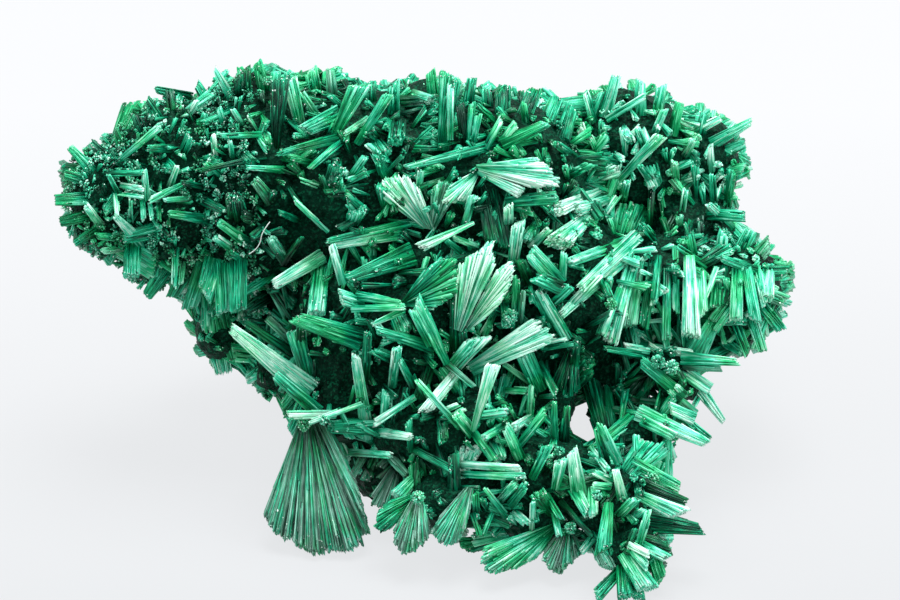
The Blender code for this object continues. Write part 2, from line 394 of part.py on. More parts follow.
# Fans: two ends of the root line, rim points in order, rise of the rim, lift of the root, thickness.
FANS = {
    "skirt": (
        ((-7.65, 8.7), (-6.05, 8.9)),
        [(-9.35, 4.1), (-8.9, 3.3), (-8.3, 2.75), (-7.75, 2.6), (-7.3, 2.3),
         (-6.8, 2.1), (-6.2, 2.15), (-5.6, 2.3), (-5.0, 2.2), (-4.4, 2.5), (-3.95, 3.2), (-4.5, 5.2),
         (-5.2, 6.9)],
        2.3, 0.4, 1.0),
    "hero_left": (
        ((0.2, 13.55), (0.6, 13.4)),
        [(0.4, 16.4), (0.55, 17.0), (1.0, 17.3), (1.55, 17.6), (2.1, 18.15), (2.3, 16.9)],
        1.3, 1.3, 0.5),
    "hero_right": (
        ((0.65, 13.45), (1.0, 13.55)),
        [(2.5, 16.7), (3.25, 17.1), (3.2, 16.3), (2.85, 15.5), (2.5, 14.9), (1.7, 14.15)],
        1.5, 1.2, 0.5),
    "shadow_fan": (
        ((-2.4, 14.95), (-2.2, 14.7)),
        [(-1.2, 16.5), (-0.3, 17.2), (0.4, 17.1), (0.5, 16.2), (0.45, 15.4), (-0.9, 14.5)],
        0.8, 0.9, 0.5),
    "beam": (
        ((0.85, 11.8), (1.2, 11.2)),
        [(4.35, 14.2), (4.65, 13.95), (4.9, 13.65), (5.3, 13.3), (5.1, 12.95), (4.3, 12.6)],
        0.9, 1.9, 0.5),
    "white_left": (
        ((-1.35, 18.6), (-0.75, 18.5)),
        [(-3.65, 20.3), (-3.5, 21.0), (-2.9, 21.2), (-2.3, 21.3), (-1.55, 20.5)],
        1.0, 0.7, 0.5),
    "white_left_wing": (
        ((-1.0, 18.6), (-0.7, 18.6)),
        [(-0.9, 20.6), (-0.5, 21.0), (0.1, 20.9), (0.3, 20.2)],
        0.9, 0.5, 0.5),
    "jagged": (
        ((1.5, 21.6), (1.45, 21.3)),
        [(-0.1, 20.6), (-0.5, 19.8), (0.2, 19.8), (0.9, 19.9)],
        0.8, 0.6, 0.4),
    "white_top": (
        ((1.3, 21.75), (1.45, 21.45)),
        [(4.4, 22.1), (5.0, 21.7), (5.4, 21.2), (5.65, 20.7), (4.2, 20.6)],
        1.2, 1.0, 0.45),
    "dusk": (
        ((6.0, 12.9), (6.4, 12.85)),
        [(4.95, 10.6), (5.5, 10.2), (6.1, 10.1), (6.5, 10.4)],
        0.2, 0.2, 0.4),
    "sweep": (
        ((7.0, 9.55), (6.85, 9.2)),
        [(9.4, 8.7), (9.9, 8.2), (9.7, 7.7), (9.0, 7.45)],
        0.8, 0.1, 0.5),
    "apron_left": (
        ((-1.95, 5.35), (-1.5, 5.1)),
        [(-3.0, 5.0), (-3.75, 4.3), (-3.85, 3.7), (-3.5, 3.4), (-3.0, 3.6)],
        0.9, 0.6, 0.5),
    "apron": (
        ((-1.85, 5.2), (-1.35, 5.1)),
        [(-2.8, 3.4), (-2.8, 2.8), (-2.45, 2.3), (-2.0, 2.25), (-1.6, 2.5), (-1.2, 2.9), (-0.95, 3.6)],
        1.2, 0.7, 0.6),
    "grey_wisps": (
        ((-2.9, 6.7), (-2.5, 6.4)),
        [(-3.9, 5.2), (-3.9, 4.7), (-3.3, 4.5), (-2.7, 4.9)],
        0.7, 0.5, 0.4),
    "bib": (
        ((0.8, 5.7), (1.2, 5.6)),
        [(-0.6, 4.0), (-0.95, 3.3), (-0.6, 2.85), (-0.1, 2.65), (0.3, 2.8), (0.6, 3.3), (0.9, 4.3)],
        1.1, 0.5, 0.5),
    "hem": (
        ((2.6, 3.2), (2.5, 2.9)),
        [(0.3, 3.1), (0.45, 2.65), (0.8, 2.4), (1.2, 2.4), (1.6, 2.5)],
        0.8, 0.2, 0.4),
    "keel": (
        ((5.2, 3.9), (5.2, 3.4)),
        [(1.6, 2.6), (1.35, 2.0), (1.65, 1.45), (2.1, 1.3), (2.8, 1.5), (3.5, 1.75), (4.2, 2.1),
         (4.6, 2.6)],
        1.5, 0.3, 0.7),
    "bell": (
        ((5.6, 3.6), (6.1, 3.5)),
        [(4.75, 2.6), (4.6, 2.0), (4.95, 1.45), (5.5, 1.3), (5.8, 1.6), (6.3, 2.1), (6.75, 2.5)],
        1.3, 0.4, 0.6),
}

# Drusy heads and beads: centre (across, up), radius, lift.
DRUSE = {
    "disc_left": ((-7.6, 11.3), 0.6, 0.2),
    "dome_bright": ((-12.95, 15.75), 0.42, 0.2),
    "pad_waist": ((-7.3, 8.75), 0.4, 0.9),
    "knot_waist": ((-6.25, 9.0), 0.3, 1.0),
    "knot_arm": ((-9.15, 26.0), 0.3, 0.2),
    "pad_apron": ((-1.6, 5.15), 0.4, 0.8),
    "pad_foot": ((10.1, 6.15), 0.4, 0.2),
    "knot_centre": ((5.45, 7.5), 0.3, 0.8),
    "knot_beam": ((3.0, 14.2), 0.45, 0.2),
    "pad_lobe": ((8.05, 14.8), 0.35, 0.6),
    "pad_spur": ((10.4, 11.9), 0.4, 0.6),
    "pad_spur_dark": ((11.1, 11.6), 0.45, 0.4),
    "pad_bottom": ((6.0, 3.65), 0.35, 0.5),
    "pad_left": ((-9.8, 14.6), 0.6, -0.1),
    "ball_lobe": ((13.8, 18.2), 0.42, 0.3),
    "pad_blob": ((7.3, 5.3), 0.3, 0.9),
}

# Gaps that show daylight through the cluster, and deep dark recesses: centre (across, up), radius.
WINDOWS = [
    ((6.6, 9.0), 0.6),
    ((10.05, 10.55), 0.35),
]
RECESSES = [
    ((6.8, 14.4), 1.2), ((7.4, 11.5), 1.3), ((8.9, 11.4), 0.6), ((-8.0, 15.0), 0.8),
    ((-6.0, 11.4), 1.1),
    ((-1.2, 8.5), 1.0), ((-0.4, 6.0), 0.7), ((-3.8, 6.5), 0.7), ((8.6, 3.5), 0.6), ((6.2, 4.0), 0.5),
    ((10.2, 18.7), 0.9), ((12.7, 18.7), 0.8), ((-7.5, 19.0), 2.0), ((-13.2, 18.2), 0.9),
    ((-3.0, 16.5), 0.8),
]


ACROSS = Vector((1.0, 0.0, 0.0))
UP = Vector((0.0, math.sin(SHOW_TILT), math.cos(SHOW_TILT)))
TOWARD = Vector((0.0, -math.cos(SHOW_TILT), math.sin(SHOW_TILT)))


def place(across, up, toward):
    """A point of the show side as a point in metres, with the origin on the flat broken face."""
    point = ACROSS * across + UP * up + TOWARD * toward - Vector(BASE_CENTRE)
    return point * MM


def front(across, up):
    """Depth of the core's front surface under a point of the show side."""
    best = None
    nearest = None
    for centre, half in LUMPS.values():
        reach = ((across - centre[0]) / half[0]) ** 2 + ((up - centre[1]) / half[1]) ** 2
        if reach < 1.0:
            depth = centre[2] + half[2] * math.sqrt(1.0 - reach)
            if best is None or depth > best:
                best = depth
        if nearest is None or reach < nearest[0]:
            nearest = (reach, centre[2])
    if best is None:
        return nearest[1]
    return best


def outward_sections(axis, facing):
    """Two directions across a crystal: along its face and through its thickness."""
    side = axis.cross(facing)
    if side.length < 0.2:
        side = axis.cross(UP)
    side.normalize()
    through = side.cross(axis).normalized()
    return side, through


def new_solid(name, bm):
    bmesh.ops.triangulate(bm, faces=bm.faces)
    bmesh.ops.recalc_face_normals(bm, faces=bm.faces)
    mesh = bpy.data.meshes.new(name)
    bm.to_mesh(mesh)
    bm.free()
    solid = bpy.data.objects.new(name, mesh)
    GROWTH.objects.link(solid)
    return solid


def crystal(root, tip, root_width, tip_width, rng, facing=TOWARD, thickness=0.75, slim=False):
    """A tapered many-sided bundle with a ragged free end."""
    axis = (tip - root).normalized()
    length = (tip - root).length
    side, through = outward_sections(axis, facing)
    sides = 4 if max(root_width, tip_width) < SMALL_CRYSTAL or slim else 6
    turn = rng.uniform(-TWIST, TWIST) + math.pi / sides
    bm = bmesh.new()
    rings = []
    for centre, width, ragged in ((root, root_width, 0.0), (tip, tip_width, 1.0)):
        ring = []
        for index in range(sides):
            angle = turn + 2.0 * math.pi * index / sides
            swell = rng.uniform(*FACET_SWELL)
            offset = side * (math.cos(angle) * width * 0.5 * swell * MM)
            offset += through * (math.sin(angle) * width * 0.5 * thickness * swell * MM)
            jag = ragged * rng.uniform(*RAGGED_END) * min(length, RAGGED_LENGTH * MM)
            ring.append(bm.verts.new(centre + offset + axis * jag))
        rings.append(ring)
    for index in range(sides):
        after = (index + 1) % sides
        bm.faces.new((rings[0][index], rings[0][after], rings[1][after], rings[1][index]))
    bm.faces.new(reversed(rings[0]))
    if sides == 4:
        bm.faces.new(rings[1])
    else:
        peak = bm.verts.new(tip + axis * (PEAK_HEIGHT * tip_width * MM))
        for index in range(sides):
            bm.faces.new((rings[1][index], rings[1][(index + 1) % sides], peak))
    return new_solid("crystal", bm)


def show_crystal(spec, rng):
    """A crystal of the show side, with a stalk under it where it rides above its neighbours."""
    start, end, root_width, tip_width, rise, lift = spec
    depth = front(*start) - ROOT_DEPTH + lift
    end_depth = max(depth + rise, front(*end) + END_CLEARANCE)
    if rise < 0.0:
        end_depth = depth + rise
    root = place(start[0], start[1], depth)
    tip = place(end[0], end[1], end_depth)
    crystal(root, tip, root_width, tip_width, rng)
    if lift > FREE_LIFT:
        share = STALK_SHARE
        middle = [start[axis] + (end[axis] - start[axis]) * share for axis in (0, 1)]
        behind = place(middle[0], middle[1], front(*middle) - ROOT_DEPTH)
        width = root_width + (tip_width - root_width) * share
        stalk = width * STALK_WIDTH
        crystal(behind, root.lerp(tip, share), stalk, stalk, rng, UP, 1.0, slim=True)


def fan(spec, rng):
    """A flat fan: ribs from a short root line to a scalloped rim."""
    root_line, rim, rise, lift, thickness = spec
    middle = [(root_line[0][axis] + root_line[1][axis]) / 2.0 for axis in (0, 1)]
    depth = front(*middle) - ROOT_DEPTH + lift
    last = len(rim) - 1
    farthest = max(math.dist(point, middle) for point in rim)
    bm = bmesh.new()
    rows = []
    for index, point in enumerate(rim):
        share = index / last
        ridge = FAN_RIDGE if index % 2 else -FAN_RIDGE
        bow = math.sin(math.pi * share)
        inner = [root_line[0][axis] + (root_line[1][axis] - root_line[0][axis]) * share for axis in (0, 1)]
        outer_depth = depth + rise * math.dist(point, middle) / farthest + ridge + FAN_BOW * bow
        edge = thickness * (0.5 + 0.5 * bow)
        rows.append((
            bm.verts.new(place(inner[0], inner[1], depth + FAN_ROOT[0])),
            bm.verts.new(place(point[0], point[1], outer_depth)),
            bm.verts.new(place(point[0], point[1] + FAN_RIDGE * bow, outer_depth - edge)),
            bm.verts.new(place(inner[0], inner[1], depth - FAN_ROOT[1])),
        ))
    for before, after in zip(rows, rows[1:]):
        for corner in range(4):
            following = (corner + 1) % 4
            if corner < 2:
                bm.faces.new((before[corner], before[following], after[following]))
                bm.faces.new((before[corner], after[following], after[corner]))
            else:
                bm.faces.new((before[corner], before[following], after[corner]))
                bm.faces.new((before[following], after[following], after[corner]))
    FAN_CORNERS.extend(row[corner].co.copy() for row in rows for corner in (1, 2))
    bm.faces.new(reversed(rows[0]))
    bm.faces.new(rows[-1])
    new_solid("fan", bm)
    behind = place(middle[0], middle[1], depth - CORE_SINK - lift)
    rim_middle = rim[len(rim) // 2]
    joint = [middle[axis] + (rim_middle[axis] - middle[axis]) * FAN_STALK_SHARE for axis in (0, 1)]
    under = place(joint[0], joint[1], depth - FAN_RIDGE + rise * FAN_STALK_SHARE)
    crystal(behind, under, FAN_STALK_WIDTH, FAN_STALK_WIDTH, rng, UP, 1.0, slim=True)


def sunk(half):
    """Half sizes of a lump of the core below the layer of crystals."""
    return (half[0] - CORE_INSET, half[1] - CORE_INSET, half[2] - CORE_SINK)


def rough_lump(centre, half, rng, name):
    """An irregular faceted lump of the core, sunk below the crystals' roots."""
    half = sunk(half)
    bm = bmesh.new()
    fine = 3 if max(half) > LARGE_LUMP else 2
    bmesh.ops.create_icosphere(bm, subdivisions=fine, radius=1.0)
    shift = Vector((rng.uniform(-9.0, 9.0), rng.uniform(-9.0, 9.0), rng.uniform(-9.0, 9.0)))
    for vert in bm.verts:
        swell = 1.0 + CORE_ROUGHNESS * (noise.noise(vert.co * HOLLOW_PITCH + shift) - HOLLOW_BIAS)
        spot = vert.co * swell
        vert.co = place(
            centre[0] + spot.x * half[0],
            centre[1] + spot.y * half[1],
            centre[2] + spot.z * half[2],
        )
    return new_solid(name, bm)


def druse(spec, rng):
    """A small ball of end-on crystals."""
    (across, up), radius, lift = spec
    bm = bmesh.new()
    bmesh.ops.create_icosphere(bm, subdivisions=1, radius=radius)
    depth = front(across, up) - DRUSE_SUNK * radius + lift
    for vert in bm.verts:
        spot = vert.co * rng.uniform(*DRUSE_SWELL)
        vert.co = place(across + spot.x, up + spot.y, depth + spot.z)
    new_solid("druse", bm)
    if lift > DRUSE_FREE_LIFT:
        behind = place(across, up, front(across, up) - ROOT_DEPTH)
        crystal(behind, place(across, up, depth), radius, radius, rng, UP, 1.0, slim=True)


def buried(point):
    """Whether a point of the show frame lies well inside the core."""
    for centre, full in LUMPS.values():
        half = sunk(full)
        reach = sum(((point[axis] - centre[axis]) / half[axis]) ** 2 for axis in range(3))
        if reach < BURIED_REACH:
            return True
    return False


def hidden_behind(across, up):
    """Whether a point is covered by the specimen as seen on its show side."""
    for centre, half in LUMPS.values():
        wide = half[0] + OUTLINE_MARGIN
        high = half[1] + OUTLINE_MARGIN
        if ((across - centre[0]) / wide) ** 2 + ((up - centre[1]) / high) ** 2 < 1.0:
            return True
    return False


def in_gap(across, up, gaps, margin):
    """Whether a point lies in or near one of the gaps of the show side."""
    return any(math.hypot(across - spot[0], up - spot[1]) < radius + margin for spot, radius in gaps)


def heading_that_stays_hidden(spot, outward, length_range, rng):
    """A leaning direction whose free end stays inside the outline, below the show side, off the floor."""
    for trial in range(HEADING_TRIALS):
        lean = Vector([rng.gauss(0.0, LEAN_SPREAD) for _ in range(3)])
        heading = (outward * OUTWARD_SHARE + lean - outward * min(0.0, lean.dot(outward))).normalized()
        length = rng.uniform(*length_range) * (1.0 - 0.5 * trial / HEADING_TRIALS)
        end = tuple(spot[axis] + heading[axis] * length for axis in range(3))
        if not hidden_behind(end[0], end[1]) or in_gap(end[0], end[1], WINDOWS, WINDOW_MARGIN):
            continue
        if end[2] > front(end[0], end[1]) - SHOW_CLEARANCE:
            continue
        if place(*end).z > FLOOR_CLEARANCE * MM:
            return heading, end
    return None


def ruled_crystals():
    """Crystals by rule: large on the sides that the show side hides, small between those laid out on it.

    Each is its root, free end, width at root and free end, and the direction its broad face looks in.
    """
    rng = random.Random(RULE_SEED)
    grown = []
    ruled = []
    for centre, full in LUMPS.values():
        half = sunk(full)
        area = half[0] * half[1] + half[1] * half[2] + half[0] * half[2]
        for _ in range(int(area * TRIALS_PER_AREA)):
            height = rng.uniform(-1.0, 1.0)
            around = rng.uniform(0.0, 2.0 * math.pi)
            level = math.sqrt(1.0 - height * height)
            normal = (level * math.cos(around), level * math.sin(around), height)
            spot = tuple(centre[axis] + normal[axis] * half[axis] for axis in range(3))
            root = place(*spot)
            if root.z < ROOT_CLEARANCE * MM or buried(spot):
                continue
            if in_gap(spot[0], spot[1], WINDOWS, WINDOW_MARGIN):
                continue
            shown = height > SHOWN_ABOVE
            spacing = FRONT_SPACING if shown else BACK_SPACING
            if shown and (near_named(spot) or in_gap(spot[0], spot[1], RECESSES, 0.0)):
                continue
            if any((root - other).length < spacing * MM for other in grown):
                continue
            outward = Vector([normal[axis] / half[axis] for axis in range(3)]).normalized()
            found = heading_that_stays_hidden(spot, outward, FRONT_LENGTH if shown else BACK_LENGTH, rng)
            if found is None:
                continue
            heading, end = found
            grown.append(root)
            inward = heading + outward
            inner = place(*(spot[axis] - inward[axis] * ROOT_OVERLAP for axis in range(3)))
            wide = rng.uniform(*(FRONT_WIDTH if shown else BACK_WIDTH))
            narrow = wide * rng.uniform(*TAPER)
            if rng.random() < WIDE_END_SHARE:
                wide, narrow = narrow, wide
            face = ACROSS * outward.x + UP * outward.y + TOWARD * outward.z
            ruled.append((inner, place(*end), wide, narrow, face))
    return ruled


def near_named(spot):
    """Whether a crystal laid out on the show side already covers a point."""
    for region in SHOW_REGIONS:
        for start, end, root_width, tip_width, _, _ in region:
            run = (end[0] - start[0], end[1] - start[1])
            length = math.hypot(*run)
            share = ((spot[0] - start[0]) * run[0] + (spot[1] - start[1]) * run[1]) / length ** 2
            share = min(1.0, max(0.0, share))
            gap = math.hypot(spot[0] - start[0] - share * run[0], spot[1] - start[1] - share * run[1])
            if gap < NAMED_MARGIN + 0.5 * max(root_width, tip_width):
                return True
    return False


def grow_together(target):
    """Join every solid waiting in the growth collection to the target, and empty the collection."""
    joined = target.modifiers.new("grown_together", "BOOLEAN")
    joined.operation = "UNION"
    joined.solver = "EXACT"
    joined.operand_type = "COLLECTION"
    joined.collection = GROWTH
    joined.use_self = False
    settle(target)
    for grown in list(GROWTH.objects):
        bpy.data.objects.remove(grown)


def settle(target):
    """Keep the modified shape and drop the modifiers."""
    bpy.context.view_layer.update()
    graph = bpy.context.evaluated_depsgraph_get()
    shape = bpy.data.meshes.new_from_object(target.evaluated_get(graph))
    target.modifiers.clear()
    target.data = shape


def cut_flat(target):
    """The flat broken face that the specimen rests on."""
    bm = bmesh.new()
    bm.from_mesh(target.data)
    geometry = bm.verts[:] + bm.edges[:] + bm.faces[:]
    cut = bmesh.ops.bisect_plane(
        bm, geom=geometry, plane_co=(0.0, 0.0, 0.0), plane_no=(0.0, 0.0, 1.0), clear_inner=True)
    rim = [item for item in cut["geom_cut"] if isinstance(item, bmesh.types.BMEdge)]
    bmesh.ops.triangle_fill(bm, edges=rim, use_beauty=True)
    bm.to_mesh(target.data)
    bm.free()


def undercut(target, across_span, away_span):
    """Cut the crystals of the foot off just clear of the surface that the broken face rests on."""
    bm = bmesh.new()
    bmesh.ops.create_cube(bm, size=1.0)
    for vert in bm.verts:
        vert.co.x = across_span[vert.co.x > 0.0] * MM
        vert.co.y = away_span[vert.co.y > 0.0] * MM
        vert.co.z = (FOOT_LIFT if vert.co.z > 0.0 else -FOOT_LIFT) * MM
    cutter = new_solid("undercut", bm)
    cleared = target.modifiers.new("undercut", "BOOLEAN")
    cleared.operation = "DIFFERENCE"
    cleared.solver = "EXACT"
    cleared.object = cutter
    settle(target)
    bpy.data.objects.remove(cutter)


def simplify(target):
    """Collapse the slivers that the joins leave down to the triangle budget, but keep the fans' rims."""
    bm = bmesh.new()
    bm.from_mesh(target.data)
    bmesh.ops.triangulate(bm, faces=bm.faces)
    count = len(bm.faces)
    bm.to_mesh(target.data)
    bm.free()
    rims = KDTree(len(FAN_CORNERS))
    for index, corner in enumerate(FAN_CORNERS):
        rims.insert(corner, index)
    rims.balance()
    kept = [vert.index for vert in target.data.vertices if rims.find(vert.co)[2] < RIM_TOLERANCE * MM]
    target.vertex_groups.new(name="fan_rims").add(kept, 1.0, "REPLACE")
    fewer = target.modifiers.new("fewer_facets", "DECIMATE")
    fewer.decimate_type = "COLLAPSE"
    fewer.ratio = min(1.0, TRIANGLE_BUDGET / count)
    fewer.use_collapse_triangulate = True
    fewer.vertex_group = "fan_rims"
    fewer.invert_vertex_group = True
    settle(target)
    target.vertex_groups.clear()


def keep_main_body(target):
    """Drop crystals that ended up touching nothing."""
    bm = bmesh.new()
    bm.from_mesh(target.data)
    unseen = set(bm.verts)
    bodies = []
    while unseen:
        stack = [unseen.pop()]
        body = list(stack)
        while stack:
            for edge in stack.pop().link_edges:
                for vert in edge.verts:
                    if vert in unseen:
                        unseen.remove(vert)
                        stack.append(vert)
                        body.append(vert)
        bodies.append(body)
    bodies.sort(key=len)
    for body in bodies[:-1]:
        bmesh.ops.delete(bm, geom=body, context="VERTS")
    bm.to_mesh(target.data)
    bm.free()


for old in list(bpy.data.objects):
    bpy.data.objects.remove(old)

FAN_CORNERS = []
GROWTH = bpy.data.collections.new("growth")
bpy.context.scene.collection.children.link(GROWTH)
RNG = random.Random(SEED)

core = None
for lump_name, (lump_centre, lump_half) in LUMPS.items():
    lump = rough_lump(lump_centre, lump_half, RNG, lump_name)
    if core is None:
        core = lump
SHOW_REGIONS = (LEFT_ARM, TONGUE, CROWN, LOBE_TOP, CENTRE, LOBE_RIGHT, SPUR, WAIST, FOOT, BACK_FANS)
for region in SHOW_REGIONS:
    for entry in region:
        show_crystal(entry, RNG)
for entry in FANS.values():
    fan(entry, RNG)
for entry in DRUSE.values():
    druse(entry, RNG)
for inner, outer, inner_width, outer_width, looks in ruled_crystals():
    crystal(inner, outer, inner_width, outer_width, RNG, looks, 0.6, slim=True)

GROWTH.objects.unlink(core)
bpy.context.scene.collection.objects.link(core)
core.name = "malachite"
core.data.name = "malachite"
grow_together(core)
keep_main_body(core)
simplify(core)
cut_flat(core)
for foot_span in FOOT_SPANS:
    undercut(core, *foot_span)
bpy.data.collections.remove(GROWTH)

stone = bpy.data.materials.new("silky_malachite")
stone.use_nodes = True
shader = stone.node_tree.nodes["Principled BSDF"]
shader.inputs["Base Color"].default_value = (0.008, 0.23, 0.10, 1.0)
shader.inputs["Roughness"].default_value = 0.42
shader.inputs["Metallic"].default_value = 0.0
core.data.materials.clear()
core.data.materials.append(stone)
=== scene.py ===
"""Dressed model of a malachite specimen: silky needles in sheaves and fans, grown over a lumpy crust."""

import json
import math
import random

import bpy
import numpy as np
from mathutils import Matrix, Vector, noise

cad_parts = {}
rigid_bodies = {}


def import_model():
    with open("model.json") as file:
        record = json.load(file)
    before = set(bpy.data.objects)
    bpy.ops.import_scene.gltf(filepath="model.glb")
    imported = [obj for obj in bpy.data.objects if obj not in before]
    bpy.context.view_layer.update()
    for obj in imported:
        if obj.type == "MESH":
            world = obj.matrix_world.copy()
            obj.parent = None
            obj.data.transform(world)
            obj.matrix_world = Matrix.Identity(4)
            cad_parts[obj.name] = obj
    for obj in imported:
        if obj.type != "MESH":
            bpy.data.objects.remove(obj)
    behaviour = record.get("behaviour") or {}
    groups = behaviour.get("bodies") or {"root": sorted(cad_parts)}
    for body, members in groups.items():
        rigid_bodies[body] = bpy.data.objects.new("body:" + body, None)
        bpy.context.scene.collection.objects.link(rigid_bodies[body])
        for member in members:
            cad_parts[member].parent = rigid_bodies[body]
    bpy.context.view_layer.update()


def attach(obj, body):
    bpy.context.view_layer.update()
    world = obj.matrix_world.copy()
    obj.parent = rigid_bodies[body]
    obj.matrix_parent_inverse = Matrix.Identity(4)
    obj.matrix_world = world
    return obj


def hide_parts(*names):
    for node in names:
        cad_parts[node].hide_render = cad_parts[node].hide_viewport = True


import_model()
for carried in bpy.data.objects:
    carried.select_set(False)


# The side the specimen shows
# It is read square on from 30 degrees above the horizon: millimetres across, up and toward the
# onlooker. The origin is on the broken face it rests on, as in the solid.
MM = 0.001
SHOW_TILT = math.radians(30.0)
BASE_CENTRE = (-1.3, 16.5, 2.0)
ACROSS = Vector((1.0, 0.0, 0.0))
UP = Vector((0.0, math.sin(SHOW_TILT), math.cos(SHOW_TILT)))
TOWARD = Vector((0.0, -math.cos(SHOW_TILT), math.sin(SHOW_TILT)))


def place(across, up, toward):
    """A point of the show side as a point in metres."""
    return (ACROSS * across + UP * up + TOWARD * toward - Vector(BASE_CENTRE)) * MM


SHOT_WIDTH = 45.0
SHOT_MIDDLE = (0.0, 15.0, 0.0)
CAMERA_DISTANCE = 700.0

bpy.ops.object.camera_add(rotation=(math.pi / 2.0 - SHOW_TILT, 0.0, 0.0))
camera = bpy.context.object
camera.name = "onlooker"
camera.location = place(*SHOT_MIDDLE) + TOWARD * CAMERA_DISTANCE * MM
camera.data.sensor_width = 36.0
camera.data.lens = 36.0 * CAMERA_DISTANCE / SHOT_WIDTH
camera.data.clip_start = 0.01
camera.data.clip_end = 20.0
bpy.context.scene.camera = camera

# Lumpy crust between the crystals
# The mass that the sheaves grow from is a heap of botryoidal lumps, seen only as near-black green gaps;
# that near-black is painted shade in the crust's colour.
# Its skin is a druse of tiny grains, and it is cut flat underneath where the specimen broke off.
# Core lumps: centre (across, up, toward) and half sizes (across, up, toward).
LUMPS = {
    "arm_end": ((-16.9, 20.1, -3.4), (2.6, 3.0, 3.2)),
    "arm_middle": ((-13.9, 20.8, -4.2), (3.6, 4.4, 4.4)),
    "arm_root": ((-9.7, 21.1, -5.0), (4.2, 5.6, 5.8)),
    "crown_left": ((-4.5, 20.6, -5.2), (5.4, 5.3, 6.6)),
    "crown_right": ((1.9, 20.1, -5.2), (5.6, 5.5, 7.0)),
    "heart_left": ((-2.2, 14.0, -4.8), (6.2, 5.6, 7.0)),
    "heart_right": ((4.8, 15.4, -4.8), (5.4, 5.0, 6.6)),
    "lobe_top": ((9.0, 22.3, -8.0), (3.2, 3.7, 4.4)),
    "lobe_top_end": ((12.7, 22.0, -9.4), (2.3, 2.5, 3.8)),
    "lobe_top_neck": ((12.0, 18.5, -7.6), (2.6, 2.4, 3.6)),
    "lobe_right": ((10.4, 15.9, -5.2), (3.4, 2.7, 4.4)),
    "lobe_right_end": ((14.5, 15.7, -5.8), (2.6, 2.5, 3.4)),
    "spur_right": ((10.9, 11.9, -3.2), (1.8, 1.1, 2.6)),
    "spur_joint": ((11.4, 10.6, -2.6), (1.2, 0.9, 2.0)),
    "spur_low": ((9.9, 8.7, -1.2), (1.7, 0.9, 2.2)),
    "recess_right": ((8.7, 10.9, -5.0), (1.9, 2.3, 3.0)),
    "recess_middle": ((4.4, 10.0, -3.4), (2.2, 2.2, 3.4)),
    "recess_low": ((9.0, 7.7, -1.6), (2.1, 1.6, 2.6)),
    "recess_top": ((9.4, 19.3, -9.6), (2.4, 2.0, 3.4)),
    "waist_left": ((-5.2, 9.9, -3.6), (2.7, 2.5, 4.6)),
    "waist": ((0.4, 8.3, -1.8), (4.4, 2.9, 4.6)),
    "foot_left": ((0.6, 5.0, 0.6), (3.2, 1.7, 2.6)),
    "foot_middle": ((4.8, 5.6, 0.6), (3.2, 3.0, 3.2)),
    "foot_right": ((8.4, 4.6, 1.6), (2.1, 2.7, 2.8)),
    "foot_tip": ((9.2, 2.5, 2.6), (1.4, 2.0, 2.4)),
    "tongue": ((-11.7, 14.5, -9.6), (1.5, 2.9, 3.2)),
    "tongue_root": ((-11.2, 18.0, -8.0), (2.4, 3.4, 4.2)),
    "back_left": ((-5.5, 17.0, -9.5), (5.2, 6.0, 5.6)),
    "back_right": ((3.5, 17.5, -10.0), (6.0, 6.0, 5.4)),
    "stump_front": ((-1.4, 8.3, -5.4), (4.8, 4.6, 5.2)),
    "stump_back": ((-1.2, 12.4, -12.4), (6.6, 5.8, 6.4)),
    "crown_knob_left": ((-6.9, 24.2, -5.6), (2.2, 2.2, 3.0)),
    "crown_knob": ((-1.0, 23.9, -5.6), (2.6, 2.3, 3.4)),
    "lobe_bridge": ((6.6, 22.9, -8.5), (2.4, 2.3, 3.6)),
    "lobe_right_low": ((14.3, 13.7, -7.0), (1.9, 1.6, 2.6)),
    "behind_log": ((-8.6, 11.6, -7.0), (1.5, 1.7, 2.6)),
    "arm_under": ((-14.6, 17.3, -5.5), (2.2, 1.7, 2.8)),
}
CORE_SINK = 1.1
CORE_INSET = 0.1
CRUST_GRAIN = 0.3


def front(across, up):
    """Depth of the lumps' front surface under a point of the show side."""
    best = None
    nearest = None
    for centre, half in LUMPS.values():
        reach = ((across - centre[0]) / half[0]) ** 2 + ((up - centre[1]) / half[1]) ** 2
        if reach < 1.0:
            depth = centre[2] + half[2] * math.sqrt(1.0 - reach)
            if best is None or depth > best:
                best = depth
        if nearest is None or reach < nearest[0]:
            nearest = (reach, centre[2])
    if best is None:
        return nearest[1]
    return best


def sunk(half):
    """Half sizes of a lump below the layer of crystals."""
    return (half[0] - CORE_INSET, half[1] - CORE_INSET, half[2] - CORE_SINK)


def deselect():
    """Nothing selected, so that the next operator acts on the new piece alone."""
    if bpy.context.object and bpy.context.object.mode != "OBJECT":
        bpy.ops.object.mode_set(mode="OBJECT")
    bpy.ops.object.select_all(action="DESELECT")


def linear(code):
    """A linear colour from an sRGB hex code."""
    shares = [int(code[first:first + 2], 16) / 255.0 for first in (1, 3, 5)]
    return tuple(s / 12.92 if s <= 0.04045 else ((s + 0.055) / 1.055) ** 2.4 for s in shares) + (1.0,)


def node(tree, kind, links=(), **settings):
    """A node with its settings, and links into its sockets as (socket, source node, source socket)."""
    made = tree.nodes.new(kind)
    for name, value in settings.items():
        if name.startswith("in_"):
            made.inputs[int(name[3:])].default_value = value
        else:
            setattr(made, name, value)
    for socket, source, output in links:
        tree.links.new(source.outputs[output], made.inputs[socket])
    return made


